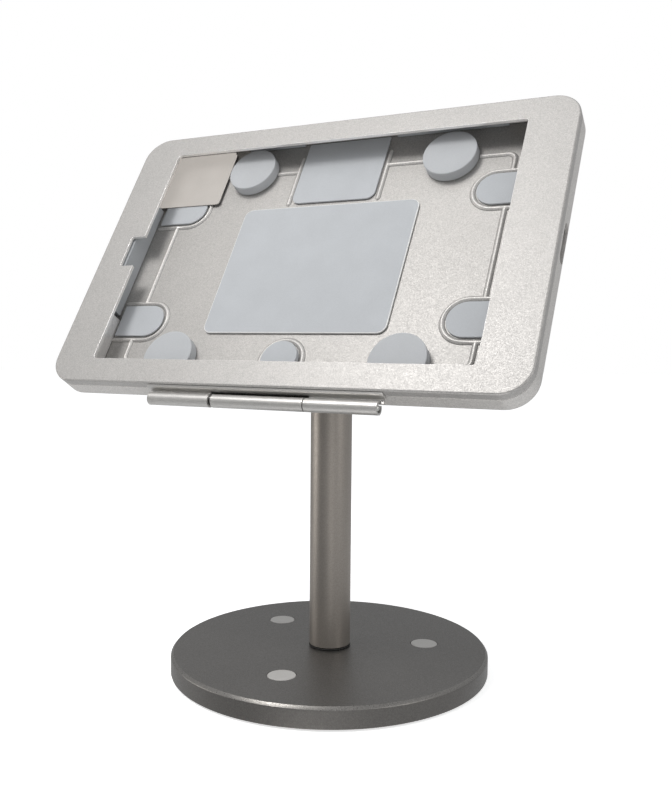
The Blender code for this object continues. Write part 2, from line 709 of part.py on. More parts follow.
def lock():
    place = (LOCK_X, LOCK_Y)
    washer_top = -9.2
    turned("lock_body", [
        (LOCK_BARREL, washer_top),
        (LOCK_BARREL, -BACK - GAP),
        (8.0, -BACK - GAP),
        (8.0, -BACK - 1.8),
        (7.3, -BACK - 2.4),
        (LOCK_PLUG + GAP, -BACK - 2.4),
        (LOCK_PLUG + GAP, washer_top),
    ], STEEL, "swivel_axis", 24, ring=True, at=place)
    flat("lock_nut", [hexagon(14.0, place), circle(LOCK_BARREL + GAP, place, 16)],
         -FLOOR + GAP, -FLOOR + 3.3, STEEL, "swivel_axis")
    plug = turned("lock_plug", [
        (0.0, -6.6),
        (1.2, -6.6),
        (1.2, -8.7),
        (LOCK_PLUG, -8.7),
        (LOCK_PLUG, -BACK - 2.5),
        (0.0, -BACK - 2.5),
    ], STEEL, "lock_axis", 20, at=place)
    keyway = rounded_rectangle(0.9, 4.4, 0.4, place, 2)
    boolean(plug, flat("keyway_cutter", [keyway], -BACK - 4.0, -BACK + 3.0, None, "lock_axis", cutter=True),
            "DIFFERENCE")
    arm = arc(4.6, place, 0.0, 180.0, 10)
    arm += arc(2.6, (LOCK_X, LOCK_Y - CAM_REACH + 2.6), 180.0, 360.0, 8)
    flat("lock_cam", [arm, circle(1.5, place, 12)], -8.4, -7.2, STEEL, "lock_axis")
    washer("lock_cam_nut", 1.5, 3.2, -6.9, -5.1, STEEL, "lock_axis", at=place, steps=6)


# Bezel

def bezel():
    opening = rounded_rectangle(OPENING_WIDTH, OPENING_HEIGHT, OPENING_CORNER)
    eased = rounded_rectangle(OPENING_WIDTH + 0.6, OPENING_HEIGHT + 0.6, OPENING_CORNER + 0.3)
    rings = [
        [(x, y, 0.0) for x, y in eased],
        pan_ring(1.1, 0.0),
        pan_ring(0.3, 0.3),
        pan_ring(0.0, 1.1),
        pan_ring(0.0, SKIRT_DEPTH),
        pan_ring(SKIRT, SKIRT_DEPTH),
        pan_ring(SKIRT, BEZEL_PLATE),
        [(x, y, -BEZEL_PLATE) for x, y in opening],
        [(x, y, -0.3) for x, y in opening],
    ]
    frame = loft("front_bezel", rings, SILVER, "bezel_axis", closed=True)
    notch_middle = -OPENING_WIDTH / 2 - NOTCH_DEPTH / 2 + 4.0
    notch = rounded_rectangle(NOTCH_DEPTH + 8.0, NOTCH_HEIGHT, 1.2, (notch_middle, 0.0), 3)
    boolean(frame, flat("camera_notch_cutter", [notch], -4.0, 2.0, None, "bezel_axis", cutter=True), "DIFFERENCE")

    leaf_top = -HEIGHT / 2 - GAP
    hinge_z = -HINGE_DEPTH
    neck_front = -3.9
    neck_back = neck_front - LEAF
    leaf_front = -0.9
    section = knuckle_arc(neck_front, neck_back)
    section += [(leaf_top, neck_back), (leaf_top, leaf_front), (leaf_top - LEAF, leaf_front),
                (leaf_top - LEAF, neck_front)]
    leaf = flat("bezel_hinge_leaf", [[
        (leaf_top, neck_back),
        (leaf_top, leaf_front),
        (leaf_top - LEAF, leaf_front),
        (leaf_top - LEAF, neck_back),
    ]], -HINGE_HALF + 0.5, HINGE_HALF - 0.5, SILVER, "bezel_axis", "X")
    inner = MIDDLE_KNUCKLE_HALF + KNUCKLE_GAP
    bore = circle(PIN_RADIUS + 0.08, (HINGE_Y, hinge_z), 20)
    for side, name in ((-1, "left"), (1, "right")):
        low, high = sorted((side * inner, side * HINGE_HALF))
        knuckle = flat("knuckle_joiner_" + name, [section, bore], low, high, None, "bezel_axis", "X", True)
        boolean(leaf, knuckle, "UNION")

    catch_x = (LOCK_X - 4.5, LOCK_X + 4.5)
    hook = [
        (77.0, -BEZEL_PLATE - GAP),
        (78.4, -BEZEL_PLATE - GAP),
        (78.4, -10.2),
        (71.6, -10.2),
        (71.6, -8.8),
        (77.0, -8.8),
    ]
    flat("bezel_catch", [hook], *catch_x, STEEL, "bezel_axis", "X")


def knuckle_arc(neck_front, neck_back):
    """The rolled part of a knuckle's section in (y, z), from its neck's front face round to the back face."""
    hinge_z = -HINGE_DEPTH
    start = math.degrees(math.asin((neck_front - hinge_z) / KNUCKLE_RADIUS))
    end = math.degrees(math.asin((neck_back - hinge_z) / KNUCKLE_RADIUS))
    return arc(KNUCKLE_RADIUS, (HINGE_Y, hinge_z), start, 360.0 + end, 22)


def tray_hinge():
    leaf_top = -HEIGHT / 2 - GAP
    neck_front = -7.2
    neck_back = neck_front - LEAF
    section = knuckle_arc(neck_front, neck_back)
    section += [
        (leaf_top - LEAF, neck_back),
        (leaf_top - LEAF, -13.6),
        (leaf_top, -13.6),
        (leaf_top, neck_front),
    ]
    bore = circle(PIN_RADIUS + 0.08, (HINGE_Y, -HINGE_DEPTH), 20)
    flat("tray_hinge_leaf", [section, bore], -MIDDLE_KNUCKLE_HALF, MIDDLE_KNUCKLE_HALF, SILVER, "swivel_axis", "X")
    turned("hinge_pin", [
        (0.0, HINGE_HALF - 1.0),
        (PIN_RADIUS - 0.3, HINGE_HALF - 1.0),
        (PIN_RADIUS, HINGE_HALF - 1.3),
        (PIN_RADIUS, -HINGE_HALF + 1.3),
        (PIN_RADIUS - 0.3, -HINGE_HALF + 1.0),
        (0.0, -HINGE_HALF + 1.0),
    ], STEEL, "swivel_axis", 20, at=(HINGE_Y, -HINGE_DEPTH), along="X")


base()
pole()
tilt_head()
tray(mounting())
foam()
lock()
bezel()
tray_hinge()
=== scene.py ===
"""Looks for the tablet stand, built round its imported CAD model.

Lengths are in millimetres and turn into metres when a mesh is made. Pieces of the enclosure are drawn in face
coordinates: x to the right, y up the face, z out of it, from the centre of the bezel's front face.
"""
import json
import math

import bmesh
import bpy
from mathutils import Matrix, Vector


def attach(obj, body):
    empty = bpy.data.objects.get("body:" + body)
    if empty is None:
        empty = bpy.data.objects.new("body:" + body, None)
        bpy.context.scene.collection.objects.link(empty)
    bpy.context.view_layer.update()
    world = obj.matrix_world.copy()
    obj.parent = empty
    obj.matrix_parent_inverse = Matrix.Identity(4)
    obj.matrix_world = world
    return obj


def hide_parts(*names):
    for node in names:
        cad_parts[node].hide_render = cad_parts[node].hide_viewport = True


MM = 0.001

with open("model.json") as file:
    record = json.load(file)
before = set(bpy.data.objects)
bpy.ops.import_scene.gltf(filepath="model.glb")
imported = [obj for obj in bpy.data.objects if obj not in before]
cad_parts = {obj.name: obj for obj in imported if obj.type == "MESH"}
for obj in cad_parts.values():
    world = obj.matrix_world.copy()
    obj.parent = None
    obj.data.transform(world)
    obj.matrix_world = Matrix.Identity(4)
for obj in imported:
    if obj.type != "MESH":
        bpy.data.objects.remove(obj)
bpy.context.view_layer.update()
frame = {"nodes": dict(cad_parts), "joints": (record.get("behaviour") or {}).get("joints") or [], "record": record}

PIECES = bpy.data.collections.new("pieces")
STAGE = bpy.data.collections.new("stage")
for collection in (PIECES, STAGE):
    bpy.context.scene.collection.children.link(collection)


# Face coordinates, from the joints' axes and the bezel's own mesh

JOINTS = {joint["name"]: joint for joint in frame["joints"]}
OUT = Vector(JOINTS["screen_rotate"]["axis"])
RIGHT = Vector(JOINTS["bezel_hinge"]["axis"])
UP = OUT.cross(RIGHT)


def reach(node, axis):
    values = [axis.dot(vertex.co) for vertex in frame["nodes"][node].data.vertices]
    return min(values), max(values)


FACE_CENTRE = UP * (sum(reach("front_bezel", UP)) / 2) + OUT * reach("front_bezel", OUT)[1]
FACE = Matrix.Translation(FACE_CENTRE) @ Matrix((RIGHT, UP, OUT)).transposed().to_4x4()
WORLD = Matrix.Identity(4)


def span(node, place=FACE):
    """Lowest and highest corner of a CAD node, in millimetres, along the axes of a place."""
    back = place.inverted()
    points = [back @ vertex.co / MM for vertex in frame["nodes"][node].data.vertices]
    low = Vector([min(point[axis] for point in points) for axis in range(3)])
    high = Vector([max(point[axis] for point in points) for axis in range(3)])
    return low, high


def middle(node, place=FACE):
    low, high = span(node, place)
    return (low + high) / 2


def nodes_named(*starts):
    return [name for name in frame["nodes"] if name.startswith(starts)]


def on_face(joint):
    return FACE.inverted() @ Vector(JOINTS[joint]["pos_m"]) / MM


# Node-based materials

COAT_GRAIN = 2300.0
FOAM_GRAIN = 2600.0
# Tone of the painted shade in a crease and of the painted highlight on a crown, and how far above the flat sheet,
# in millimetres, each begins and is complete
CREASE_SHADE_TONE, CREASE_START, CREASE_END = 0.62, 0.01, 0.09
CROWN_HIGHLIGHT_TONE, CROWN_START, CROWN_END = 2.45, 0.13, 0.42
SHEET = 1.6


def new_material(name):
    made = bpy.data.materials.new(name)
    made.use_nodes = True
    nodes, links = made.node_tree.nodes, made.node_tree.links
    shader = nodes["Principled BSDF"]
    place = nodes.new("ShaderNodeTexCoord")
    return made, nodes, links, shader, place.outputs["Object"]


def noise(nodes, links, place, scale, detail=2.0, roughness=0.5):
    made = nodes.new("ShaderNodeTexNoise")
    made.inputs["Scale"].default_value = scale
    made.inputs["Detail"].default_value = detail
    made.inputs["Roughness"].default_value = roughness
    links.new(place, made.inputs["Vector"])
    return made.outputs["Fac"]


def ramp(nodes, links, source, low, high, start=0.3, end=0.7):
    """Turns a 0 to 1 value into a grey, or a colour, between low and high."""
    made = nodes.new("ShaderNodeMapRange")
    made.inputs["From Min"].default_value = start
    made.inputs["From Max"].default_value = end
    made.inputs["To Min"].default_value = low
    made.inputs["To Max"].default_value = high
    links.new(source, made.inputs["Value"])
    return made.outputs["Result"]


def times(nodes, links, first, second):
    made = nodes.new("ShaderNodeMath")
    made.operation = "MULTIPLY"
    links.new(first, made.inputs[0])
    links.new(second, made.inputs[1])
    return made.outputs["Value"]


def tinted(nodes, links, colour, value):
    """The colour, made lighter or darker by a value near 1."""
    made = nodes.new("ShaderNodeVectorMath")
    made.operation = "SCALE"
    made.inputs[0].default_value = colour
    links.new(value, made.inputs["Scale"])
    return made.outputs["Vector"]


def bump(nodes, links, shader, height, strength, distance):
    made = nodes.new("ShaderNodeBump")
    made.inputs["Strength"].default_value = strength
    made.inputs["Distance"].default_value = distance
    links.new(height, made.inputs["Height"])
    links.new(made.outputs["Normal"], shader.inputs["Normal"])


def cells(nodes, links, place, scale):
    made = nodes.new("ShaderNodeTexVoronoi")
    made.inputs["Scale"].default_value = scale
    links.new(place, made.inputs["Vector"])
    split = nodes.new("ShaderNodeSeparateColor")
    links.new(made.outputs["Color"], split.inputs["Color"])
    return split.outputs["Red"], split.outputs["Green"]


def powder_coat(name, colour, metallic, roughness, fleck, coarse, relief=None):
    """Metallic powder coat: flakes that catch the light, over a fine pebbled skin and faint cloudiness.

    Over a pressed relief, painted shade darkens the colour in the crease at the foot of each bead and a painted
    highlight lightens it on its crown; relief is the height of the flat sheet, in millimetres along the piece's own
    z.
    """
    made, nodes, links, shader, place = new_material(name)
    flake, flake_gloss = cells(nodes, links, place, COAT_GRAIN)
    pebble = noise(nodes, links, place, COAT_GRAIN, 3.0, 0.6)
    cloud = noise(nodes, links, place, 28.0, 3.0)
    tone = times(nodes, links,
                 ramp(nodes, links, flake, 1.0 - fleck, 1.0 + fleck, 0.0, 1.0),
                 ramp(nodes, links, pebble, 1.0 - fleck * 0.8, 1.0 + fleck * 0.8))
    tone = times(nodes, links, tone, ramp(nodes, links, cloud, 0.975, 1.025))
    if relief is not None:
        height = nodes.new("ShaderNodeSeparateXYZ")
        links.new(place, height.inputs["Vector"])
        # Painted shade: the colour darkens in the crease at each bead's foot. Painted highlight: it lightens on the
        # crown.
        crease = ramp(nodes, links, height.outputs["Z"], 1.0, CREASE_SHADE_TONE,
                      (relief + CREASE_START) * MM, (relief + CREASE_END) * MM)
        crown = ramp(nodes, links, height.outputs["Z"], 1.0, CROWN_HIGHLIGHT_TONE,
                     (relief + CROWN_START) * MM, (relief + CROWN_END) * MM)
        tone = times(nodes, links, tone, times(nodes, links, crease, crown))
    links.new(tinted(nodes, links, colour, tone), shader.inputs["Base Color"])
    links.new(ramp(nodes, links, flake_gloss, roughness - 0.09, roughness + 0.07, 0.0, 1.0),
              shader.inputs["Roughness"])
    shader.inputs["Metallic"].default_value = metallic
    bump(nodes, links, shader, pebble, coarse, 0.00012)
    return made


def foam(name, colour):
    """Closed-cell foam: tiny cells under a dull skin, a little lighter where the skin is scuffed."""
    made, nodes, links, shader, place = new_material(name)
    cell, _ = cells(nodes, links, place, FOAM_GRAIN)
    cloud = noise(nodes, links, place, 60.0, 4.0)
    fine = noise(nodes, links, place, FOAM_GRAIN * 0.5, 2.0)
    tone = times(nodes, links, ramp(nodes, links, cell, 0.975, 1.025, 0.0, 1.0),
                 ramp(nodes, links, cloud, 0.97, 1.03))
    links.new(tinted(nodes, links, colour, tone), shader.inputs["Base Color"])
    links.new(ramp(nodes, links, cloud, 0.82, 0.93), shader.inputs["Roughness"])
    shader.inputs["Sheen Weight"].default_value = 0.12
    shader.inputs["Sheen Roughness"].default_value = 0.6
    bump(nodes, links, shader, fine, 0.35, 0.00006)
    return made


def plated(name, colour, roughness):
    """Zinc-plated steel: fine lines from turning, and a mottled plating."""
    made, nodes, links, shader, place = new_material(name)
    stretch = nodes.new("ShaderNodeMapping")
    stretch.inputs["Scale"].default_value = (1.0, 1.0, 14.0)
    links.new(place, stretch.inputs["Vector"])
    lines = noise(nodes, links, stretch.outputs["Vector"], 240.0, 3.0)
    mottle = noise(nodes, links, place, 160.0, 3.0)
    links.new(tinted(nodes, links, colour, ramp(nodes, links, mottle, 0.9, 1.08)), shader.inputs["Base Color"])
    links.new(ramp(nodes, links, lines, roughness - 0.06, roughness + 0.1), shader.inputs["Roughness"])
    shader.inputs["Metallic"].default_value = 1.0
    bump(nodes, links, shader, lines, 0.12, 0.00005)
    return made


def moulded(name, colour, roughness, grain, depth):
    """Moulded plastic or rubber: a fine spark-eroded grain and slight unevenness in tone and gloss."""
    made, nodes, links, shader, place = new_material(name)
    fine = noise(nodes, links, place, grain, 2.0, 0.6)
    cloud = noise(nodes, links, place, 70.0, 3.0)
    tone = times(nodes, links, ramp(nodes, links, fine, 0.96, 1.04), ramp(nodes, links, cloud, 0.97, 1.03))
    links.new(tinted(nodes, links, colour, tone), shader.inputs["Base Color"])
    links.new(ramp(nodes, links, fine, roughness - 0.07, roughness + 0.07), shader.inputs["Roughness"])
    bump(nodes, links, shader, fine, depth, 0.00006)
    return made


LOOKS = {
    "silver_coat": powder_coat("silver_coat", (0.452, 0.440, 0.428), 0.5, 0.50, 0.13, 0.26),
    # The tray's coat carries painted shade in the bead creases and a painted highlight on the bead crowns.
    "tray_coat": powder_coat("tray_coat", (0.425, 0.413, 0.40), 0.5, 0.50, 0.13, 0.26,
                             span("rear_tray")[0].z + SHEET),
    # Near-white glossy coat for the bezel opening's walls and eased edges and for the corner stop: a painted
    # highlight.
    "edge_painted_highlight": powder_coat("edge_painted_highlight", (0.90, 0.885, 0.87), 0.6, 0.38, 0.06, 0.10),
    # Lighter coat for the base's top chamfer: a painted highlight along the rim.
    "base_chamfer_painted_highlight": powder_coat("base_chamfer_painted_highlight", (0.235, 0.226, 0.215), 0.85, 0.36, 0.14, 0.14),
    "hinge_coat": powder_coat("hinge_coat", (0.61, 0.598, 0.58), 0.8, 0.42, 0.05, 0.03),
    "bronze_grey_coat": powder_coat("bronze_grey_coat", (0.158, 0.151, 0.143), 0.75, 0.44, 0.12, 0.14),
    "pole_coat": powder_coat("pole_coat", (0.365, 0.333, 0.302), 0.8, 0.42, 0.07, 0.08),
    "plated_steel": plated("plated_steel", (0.58, 0.58, 0.56), 0.3),
    "thick_foam": foam("thick_foam", (0.51, 0.525, 0.545)),
    "thin_foam": foam("thin_foam", (0.525, 0.545, 0.57)),
    "edge_foam": foam("edge_foam", (0.42, 0.44, 0.46)),
    # Near-black look: painted shade on the face deep in the hinge's gap.
    "knuckle_gap_painted_shade": powder_coat("knuckle_gap_painted_shade", (0.03, 0.027, 0.025), 0.4, 0.6, 0.06, 0.10),
    # Near-white foam for the centre pad's eased edges: a painted highlight on the rim.
    "foam_edge_painted_highlight": foam("foam_edge_painted_highlight", (0.93, 0.93, 0.92)),
    "cap_plastic": moulded("cap_plastic", (0.50, 0.487, 0.47), 0.5, 1600.0, 0.2),
    "cover_plastic": moulded("cover_plastic", (0.245, 0.231, 0.216), 0.85, 2200.0, 0.08),
    "black_rubber": moulded("black_rubber", (0.022, 0.022, 0.021), 0.75, 900.0, 0.4),
    "white_nylon": moulded("white_nylon", (0.72, 0.71, 0.66), 0.45, 1400.0, 0.12),
}
SLOTS = {entry["node"]: entry["material_slot"] for entry in frame["record"]["subparts"]}
BODIES = {node: body for body, nodes in frame["record"]["behaviour"]["bodies"].items() for node in nodes}
for name, node in frame["nodes"].items():
    node.data.materials.clear()
    node.data.materials.append(LOOKS[SLOTS[name]])


# Outlines

def arc(radius, centre, start, end, steps):
    points = []
    for step in range(steps + 1):
        angle = math.radians(start + (end - start) * step / steps)
        points.append((centre[0] + radius * math.cos(angle), centre[1] + radius * math.sin(angle)))
    return points


def circle(radius, centre=(0.0, 0.0), steps=48):
    return arc(radius, centre, 0.0, 360.0, steps)[:-1]


def rounded_rectangle(width, height, radius, centre=(0.0, 0.0), steps=12):
    points = []
    for corner, (side_x, side_y) in enumerate([(1, -1), (1, 1), (-1, 1), (-1, -1)]):
        turn = (centre[0] + side_x * (width / 2 - radius), centre[1] + side_y * (height / 2 - radius))
        start = 90.0 * corner - 90.0
        points += arc(radius, turn, start, start + 90.0, steps)
    return points


def hexagon(across_flats, centre=(0.0, 0.0)):
    return arc(corner_radius(across_flats), centre, 30.0, 390.0, 6)[:-1]


def corner_radius(across_flats):
    return across_flats / 2 / math.cos(math.radians(30.0))


# Meshes

ALONG = {
    "X": Matrix(((0, 0, 1), (1, 0, 0), (0, 1, 0))).to_4x4(),
    "Y": Matrix(((0, 1, 0), (0, 0, 1), (1, 0, 0))).to_4x4(),
    "Z": Matrix.Identity(4),
}


def as_mesh(work, along="Z"):
    mesh = bpy.data.meshes.new("mesh")
    bmesh.ops.recalc_face_normals(work, faces=work.faces)
    work.to_mesh(mesh)
    work.free()
    mesh.transform(ALONG[along])
    return mesh


def slab(loops, low, high, along="Z"):
    """A flat outline, with holes, given thickness along an axis."""
    curve = bpy.data.curves.new("outline", "CURVE")
    curve.dimensions = "2D"
    curve.fill_mode = "BOTH"
    curve.extrude = (high - low) / 2 * MM
    for loop in loops:
        spline = curve.splines.new("POLY")
        spline.points.add(len(loop) - 1)
        spline.use_cyclic_u = True
        for point, (x, y) in zip(spline.points, loop):
            point.co = (x * MM, y * MM, 0.0, 1.0)
    holder = bpy.data.objects.new("outline", curve)
    bpy.context.scene.collection.objects.link(holder)
    seen = holder.evaluated_get(bpy.context.evaluated_depsgraph_get())
    work = bmesh.new()
    work.from_mesh(bpy.data.meshes.new_from_object(seen))
    bpy.data.objects.remove(holder, do_unlink=True)
    bpy.data.curves.remove(curve)
    bmesh.ops.remove_doubles(work, verts=work.verts, dist=0.000005)
    bmesh.ops.dissolve_limit(work, angle_limit=math.radians(0.5), verts=work.verts, edges=work.edges)
    bmesh.ops.translate(work, verts=work.verts, vec=(0.0, 0.0, (low + high) / 2 * MM))
    return as_mesh(work, along)


def spun(profile, at=(0.0, 0.0), along="Z", steps=64, ring=False):
    """A turned shape from a profile of (radius, height)."""
    work = bmesh.new()
    points = [work.verts.new((radius * MM, 0.0, height * MM)) for radius, height in profile]
    pairs = list(zip(points, points[1:]))
    if ring:
        pairs.append((points[-1], points[0]))
    for pair in pairs:
        work.edges.new(pair)
    bmesh.ops.spin(work, geom=work.verts[:] + work.edges[:], cent=(0.0, 0.0, 0.0), axis=(0.0, 0.0, 1.0),
                   angle=math.tau, steps=steps, use_merge=True)
    bmesh.ops.remove_doubles(work, verts=work.verts, dist=0.000001)
    bmesh.ops.translate(work, verts=work.verts, vec=(at[0] * MM, at[1] * MM, 0.0))
    return as_mesh(work, along)


def skinned(rings, closed=False):
    """A skin over a row of rings with equal numbers of points. An open row is capped, a closed one joins up."""
    work = bmesh.new()
    rows = [[work.verts.new(Vector(point) * MM) for point in ring] for ring in rings]
    for row, other in zip(rows, rows[1:] + rows[:1] if closed else rows[1:]):
        for step, corner in enumerate(row):
            after = (step + 1) % len(row)
            work.faces.new((corner, row[after], other[after], other[step]))
    if not closed:
        work.faces.new(rows[0][::-1])
        work.faces.new(rows[-1])
    return as_mesh(work)


def ribbon(path, thickness, low, high):
    """Bent sheet with this centre line in (y, z), between two x positions."""
    left, right = [], []
    for step, (y, z) in enumerate(path):
        before = Vector(path[max(step - 1, 0)])
        after = Vector(path[min(step + 1, len(path) - 1)])
        along = (after - before).normalized()
        side = Vector((-along.y, along.x)) * thickness / 2
        left.append((y + side.x, z + side.y))
        right.append((y - side.x, z - side.y))
    return slab([left + right[::-1]], low, high, "X")


def merged(meshes):
    work = bmesh.new()
    for mesh in meshes:
        work.from_mesh(mesh)
        bpy.data.meshes.remove(mesh)
    return as_mesh(work)


def carved(mesh, *changes):
    """The mesh after exact Booleans, each an (operation, mesh) pair."""
    made = bpy.data.objects.new("carving", mesh)
    tools = []
    for operation, tool_mesh in changes:
        tool = bpy.data.objects.new("tool", tool_mesh)
        change = made.modifiers.new("carve", "BOOLEAN")
        change.operation = operation
        change.object = tool
        change.solver = "EXACT"
        tools.append(tool)
    for item in [made] + tools:
        bpy.context.scene.collection.objects.link(item)
    result = bpy.data.meshes.new_from_object(made.evaluated_get(bpy.context.evaluated_depsgraph_get()))
    for item in [made] + tools:
        old = item.data
        bpy.data.objects.remove(item, do_unlink=True)
        bpy.data.meshes.remove(old)
    return result


def piece(node, mesh, place=FACE, edge=0.0, segments=2, sharp=38.0, look=None, rim=None, rim_on_edges=True):
    """A finished piece in place of a CAD node, on its body and in its slot, with its edges eased by this much.

    Its look is its slot's unless another is named. A rim is a second look, for marked faces and eased edges.
    """
    made = bpy.data.objects.new(node + "_detail", mesh)
    PIECES.objects.link(made)
    made.matrix_world = place
    looks = [LOOKS[look or SLOTS[node]]] + ([LOOKS[rim]] if rim else [])
    marks = [face.material_index for face in mesh.polygons]
    mesh.materials.clear()
    for one in looks:
        mesh.materials.append(one)
    for face, number in zip(mesh.polygons, marks):
        face.material_index = min(number, len(looks) - 1)
    mesh.shade_smooth()
    mesh.set_sharp_from_angle(angle=math.radians(sharp))
    if edge:
        bevel = made.modifiers.new("eased_edges", "BEVEL")
        bevel.width = edge * MM
        bevel.segments = segments
        bevel.limit_method = "ANGLE"
        bevel.angle_limit = math.radians(sharp)
        bevel.harden_normals = False
        if rim and rim_on_edges:
            bevel.material = 1
    weighted = made.modifiers.new("flat_faces_stay_flat", "WEIGHTED_NORMAL")
    weighted.keep_sharp = not edge
    weighted.weight = 90
    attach(made, BODIES[node])
    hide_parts(node)
    return made


def mark(mesh, chosen):
    """Marks the faces that get a rim's look, chosen by their centre, in millimetres, and their normal."""
    mesh.materials.append(None)
    for face in mesh.polygons:
        face.material_index = 1 if chosen(face.center / MM, face.normal) else 0


def drilled(*holes):
    return [("DIFFERENCE", hole) for hole in holes]


# Base and pole

BOLT_HOLE = 4.35


def base():
    low, high = span("base_plate", WORLD)
    radius, bottom, top = high.x, low.z, high.z
    chamfer, through = 1.4, 3.0
    plate = [(0.0, top), (radius - chamfer - 0.5, top)]
    plate += [(radius - chamfer - 0.2, top - 0.03), (radius - chamfer + 0.1, top - 0.2)]
    plate += [(radius - 0.2, top - chamfer - 0.1), (radius - 0.03, top - chamfer - 0.4)]
    plate += [(radius, top - chamfer - 0.8), (radius, bottom + 0.6)]
    plate += [(radius - 0.15, bottom + 0.15), (radius - 0.6, bottom), (0.0, bottom)]
    fixing_radius, cap_gap, cap_edge = 3.3, 0.25, 0.45
    holes = []
    caps = nodes_named("base_cap")
    for name in caps:
        place = middle(name, WORLD)
        cap_low, cap_high = span(name, WORLD)
        cap_radius = (cap_high.x - cap_low.x) / 2
        holes.append(spun([(0.0, top + through), (cap_radius + cap_gap, top + through),
                           (cap_radius + cap_gap, cap_low.z - 0.3), (fixing_radius, cap_low.z - 0.3),
                           (fixing_radius, bottom - through), (0.0, bottom - through)], place.xy))
        crown = arc(cap_edge, (cap_radius - cap_edge, cap_high.z - cap_edge), 78.0, 0.0, 5)
        cap = [(0.0, cap_high.z), (cap_radius * 0.6, cap_high.z - 0.02)] + crown
        cap += [(cap_radius, cap_low.z), (0.0, cap_low.z)]
        piece(name, spun(cap, place.xy), WORLD)
    bolt_radius, seat_radius, seat = 5.3, 10.0, 8.5
    bolt_hole = spun([(0.0, top + through), (bolt_radius, top + through), (bolt_radius, seat),
                      (seat_radius, seat), (seat_radius, bottom - through), (0.0, bottom - through)])
    mesh = carved(spun(plate, steps=180), *drilled(bolt_hole, *holes))
    # The chamfer faces get the lighter look: a painted highlight along the base's rim.
    mark(mesh, lambda centre, normal: 0.15 < normal.z < 0.97 and centre.xy.length > radius - 3.0)
    piece("base_plate", mesh, WORLD, rim="base_chamfer_painted_highlight")

    low, high = span("base_rubber_pad", WORLD)
    inner, hole_radius = 12.0, 3.7
    section = [(inner, high.z), (high.x - 0.15, high.z), (high.x, high.z - 0.15), (high.x, low.z + 0.2),
               (high.x - 0.2, low.z), (inner, low.z)]
    grooves = []
    first_groove, spacing, groove_width, groove_top = 30.0, 10.0, 1.2, low.z + 0.2
    for step in range(6):
        groove = first_groove + spacing * step
        grooves.append(spun([(groove, groove_top), (groove + groove_width, groove_top),
                             (groove + groove_width, low.z - 1.0), (groove, low.z - 1.0)], steps=96, ring=True))
    holes = [spun([(0.0, through), (hole_radius, through), (hole_radius, -through), (0.0, -through)],
                  middle(name, WORLD).xy) for name in caps]
    piece("base_rubber_pad", carved(spun(section, steps=120, ring=True), *drilled(*grooves, *holes)), WORLD)


def set_screw_hole(height):
    """Runs from inside the pole to beyond its back."""
    radius, inside, outside = 2.8, 6.0, 20.0
    return spun([(0.0, outside), (radius, outside), (radius, inside), (0.0, inside)], (height, 0.0), "Y", 32)


def pole():
    low, high = span("pole_foot_ring", WORLD)
    ring_bore = 5.4
    lip = arc(0.38, (high.x - 0.85, high.z - 0.4), 90.0, -90.0, 8)
    ring = [(ring_bore, high.z - 0.02)] + lip + [(ring_bore, low.z)]
    piece("pole_foot_ring", spun(ring, steps=96, ring=True), WORLD)

    low, high = span("pole_tube", WORLD)
    bore = 10.9
    tube = [(bore, high.z), (high.x - 0.35, high.z), (high.x - 0.1, high.z - 0.1), (high.x, high.z - 0.35)]
    tube += [(high.x, low.z + 0.45), (high.x - 0.12, low.z + 0.12), (high.x - 0.45, low.z), (bore, low.z)]
    screw = middle("pole_set_screw", WORLD)
    piece("pole_tube", carved(spun(tube, steps=128, ring=True), *drilled(set_screw_hole(screw.z))), WORLD,
          edge=0.12, look="pole_coat")

    low, high = span("pole_set_screw", WORLD)
    blank = [(0.0, high.y), (2.1, high.y), (2.5, high.y - 0.4), (2.5, low.y), (0.0, low.y)]
    socket = slab([hexagon(2.5, (screw.z, 0.0))], high.y - 1.6, high.y + 1.0, "Y")
    piece("pole_set_screw", carved(spun(blank, (screw.z, 0.0), "Y", 32), *drilled(socket)), WORLD)

    low, high = span("pole_bolt", WORLD)
    shank, head, head_top = 5.0, 8.0, 6.4
    blank = [(0.0, high.z), (shank - 0.6, high.z), (shank, high.z - 0.6), (shank, head_top),
             (head - 0.4, head_top), (head, head_top - 0.4), (head, low.z + 0.5), (head - 0.5, low.z), (0.0, low.z)]
    socket = slab([hexagon(6.0)], low.z - 1.0, low.z + 2.6)
    piece("pole_bolt", carved(spun(blank), *drilled(socket)), WORLD)

    low, high = span("pole_head", WORLD)
    pivot = Vector(JOINTS["tilt"]["pos_m"]) / MM
    collar = span("pole_tube", WORLD)[1].z + 0.3
    tongue = 8.2
    eye = high.z - pivot.z
    radius = high.x
    blank = [(0.0, high.z + 1.0), (radius, high.z + 1.0), (radius, collar + 0.35), (radius - 0.1, collar + 0.1),
             (radius - 0.35, collar), (bore - 0.3, collar), (bore - 0.3, low.z), (0.0, low.z)]
    flank, above, shelf = 20.0, pivot.z + 25.0, collar + 3.0
    cheeks = []
    for side in (-1, 1):
        outline = [(-flank, above), (-flank, shelf), (flank, shelf), (flank, above)]
        cheeks.append(slab([outline], *sorted((side * tongue, side * flank)), "X"))
    crown = [(-flank, above), (-flank, pivot.z)] + arc(eye, (0.0, pivot.z), 180.0, 0.0, 40)
    crown += [(flank, pivot.z), (flank, above)]
    cuts = cheeks + [slab([crown], -flank, flank, "X"),
                     slab([circle(BOLT_HOLE, (0.0, pivot.z))], -flank, flank, "X"), set_screw_hole(screw.z)]
    piece("pole_head", carved(spun(blank, steps=128), *drilled(*cuts)), WORLD, edge=0.4, look="pole_coat")


# Tilt head

WASHER_HOLE = 4.3
NUT_HOLE = 4.15
BOLT_RADIUS = 4.0


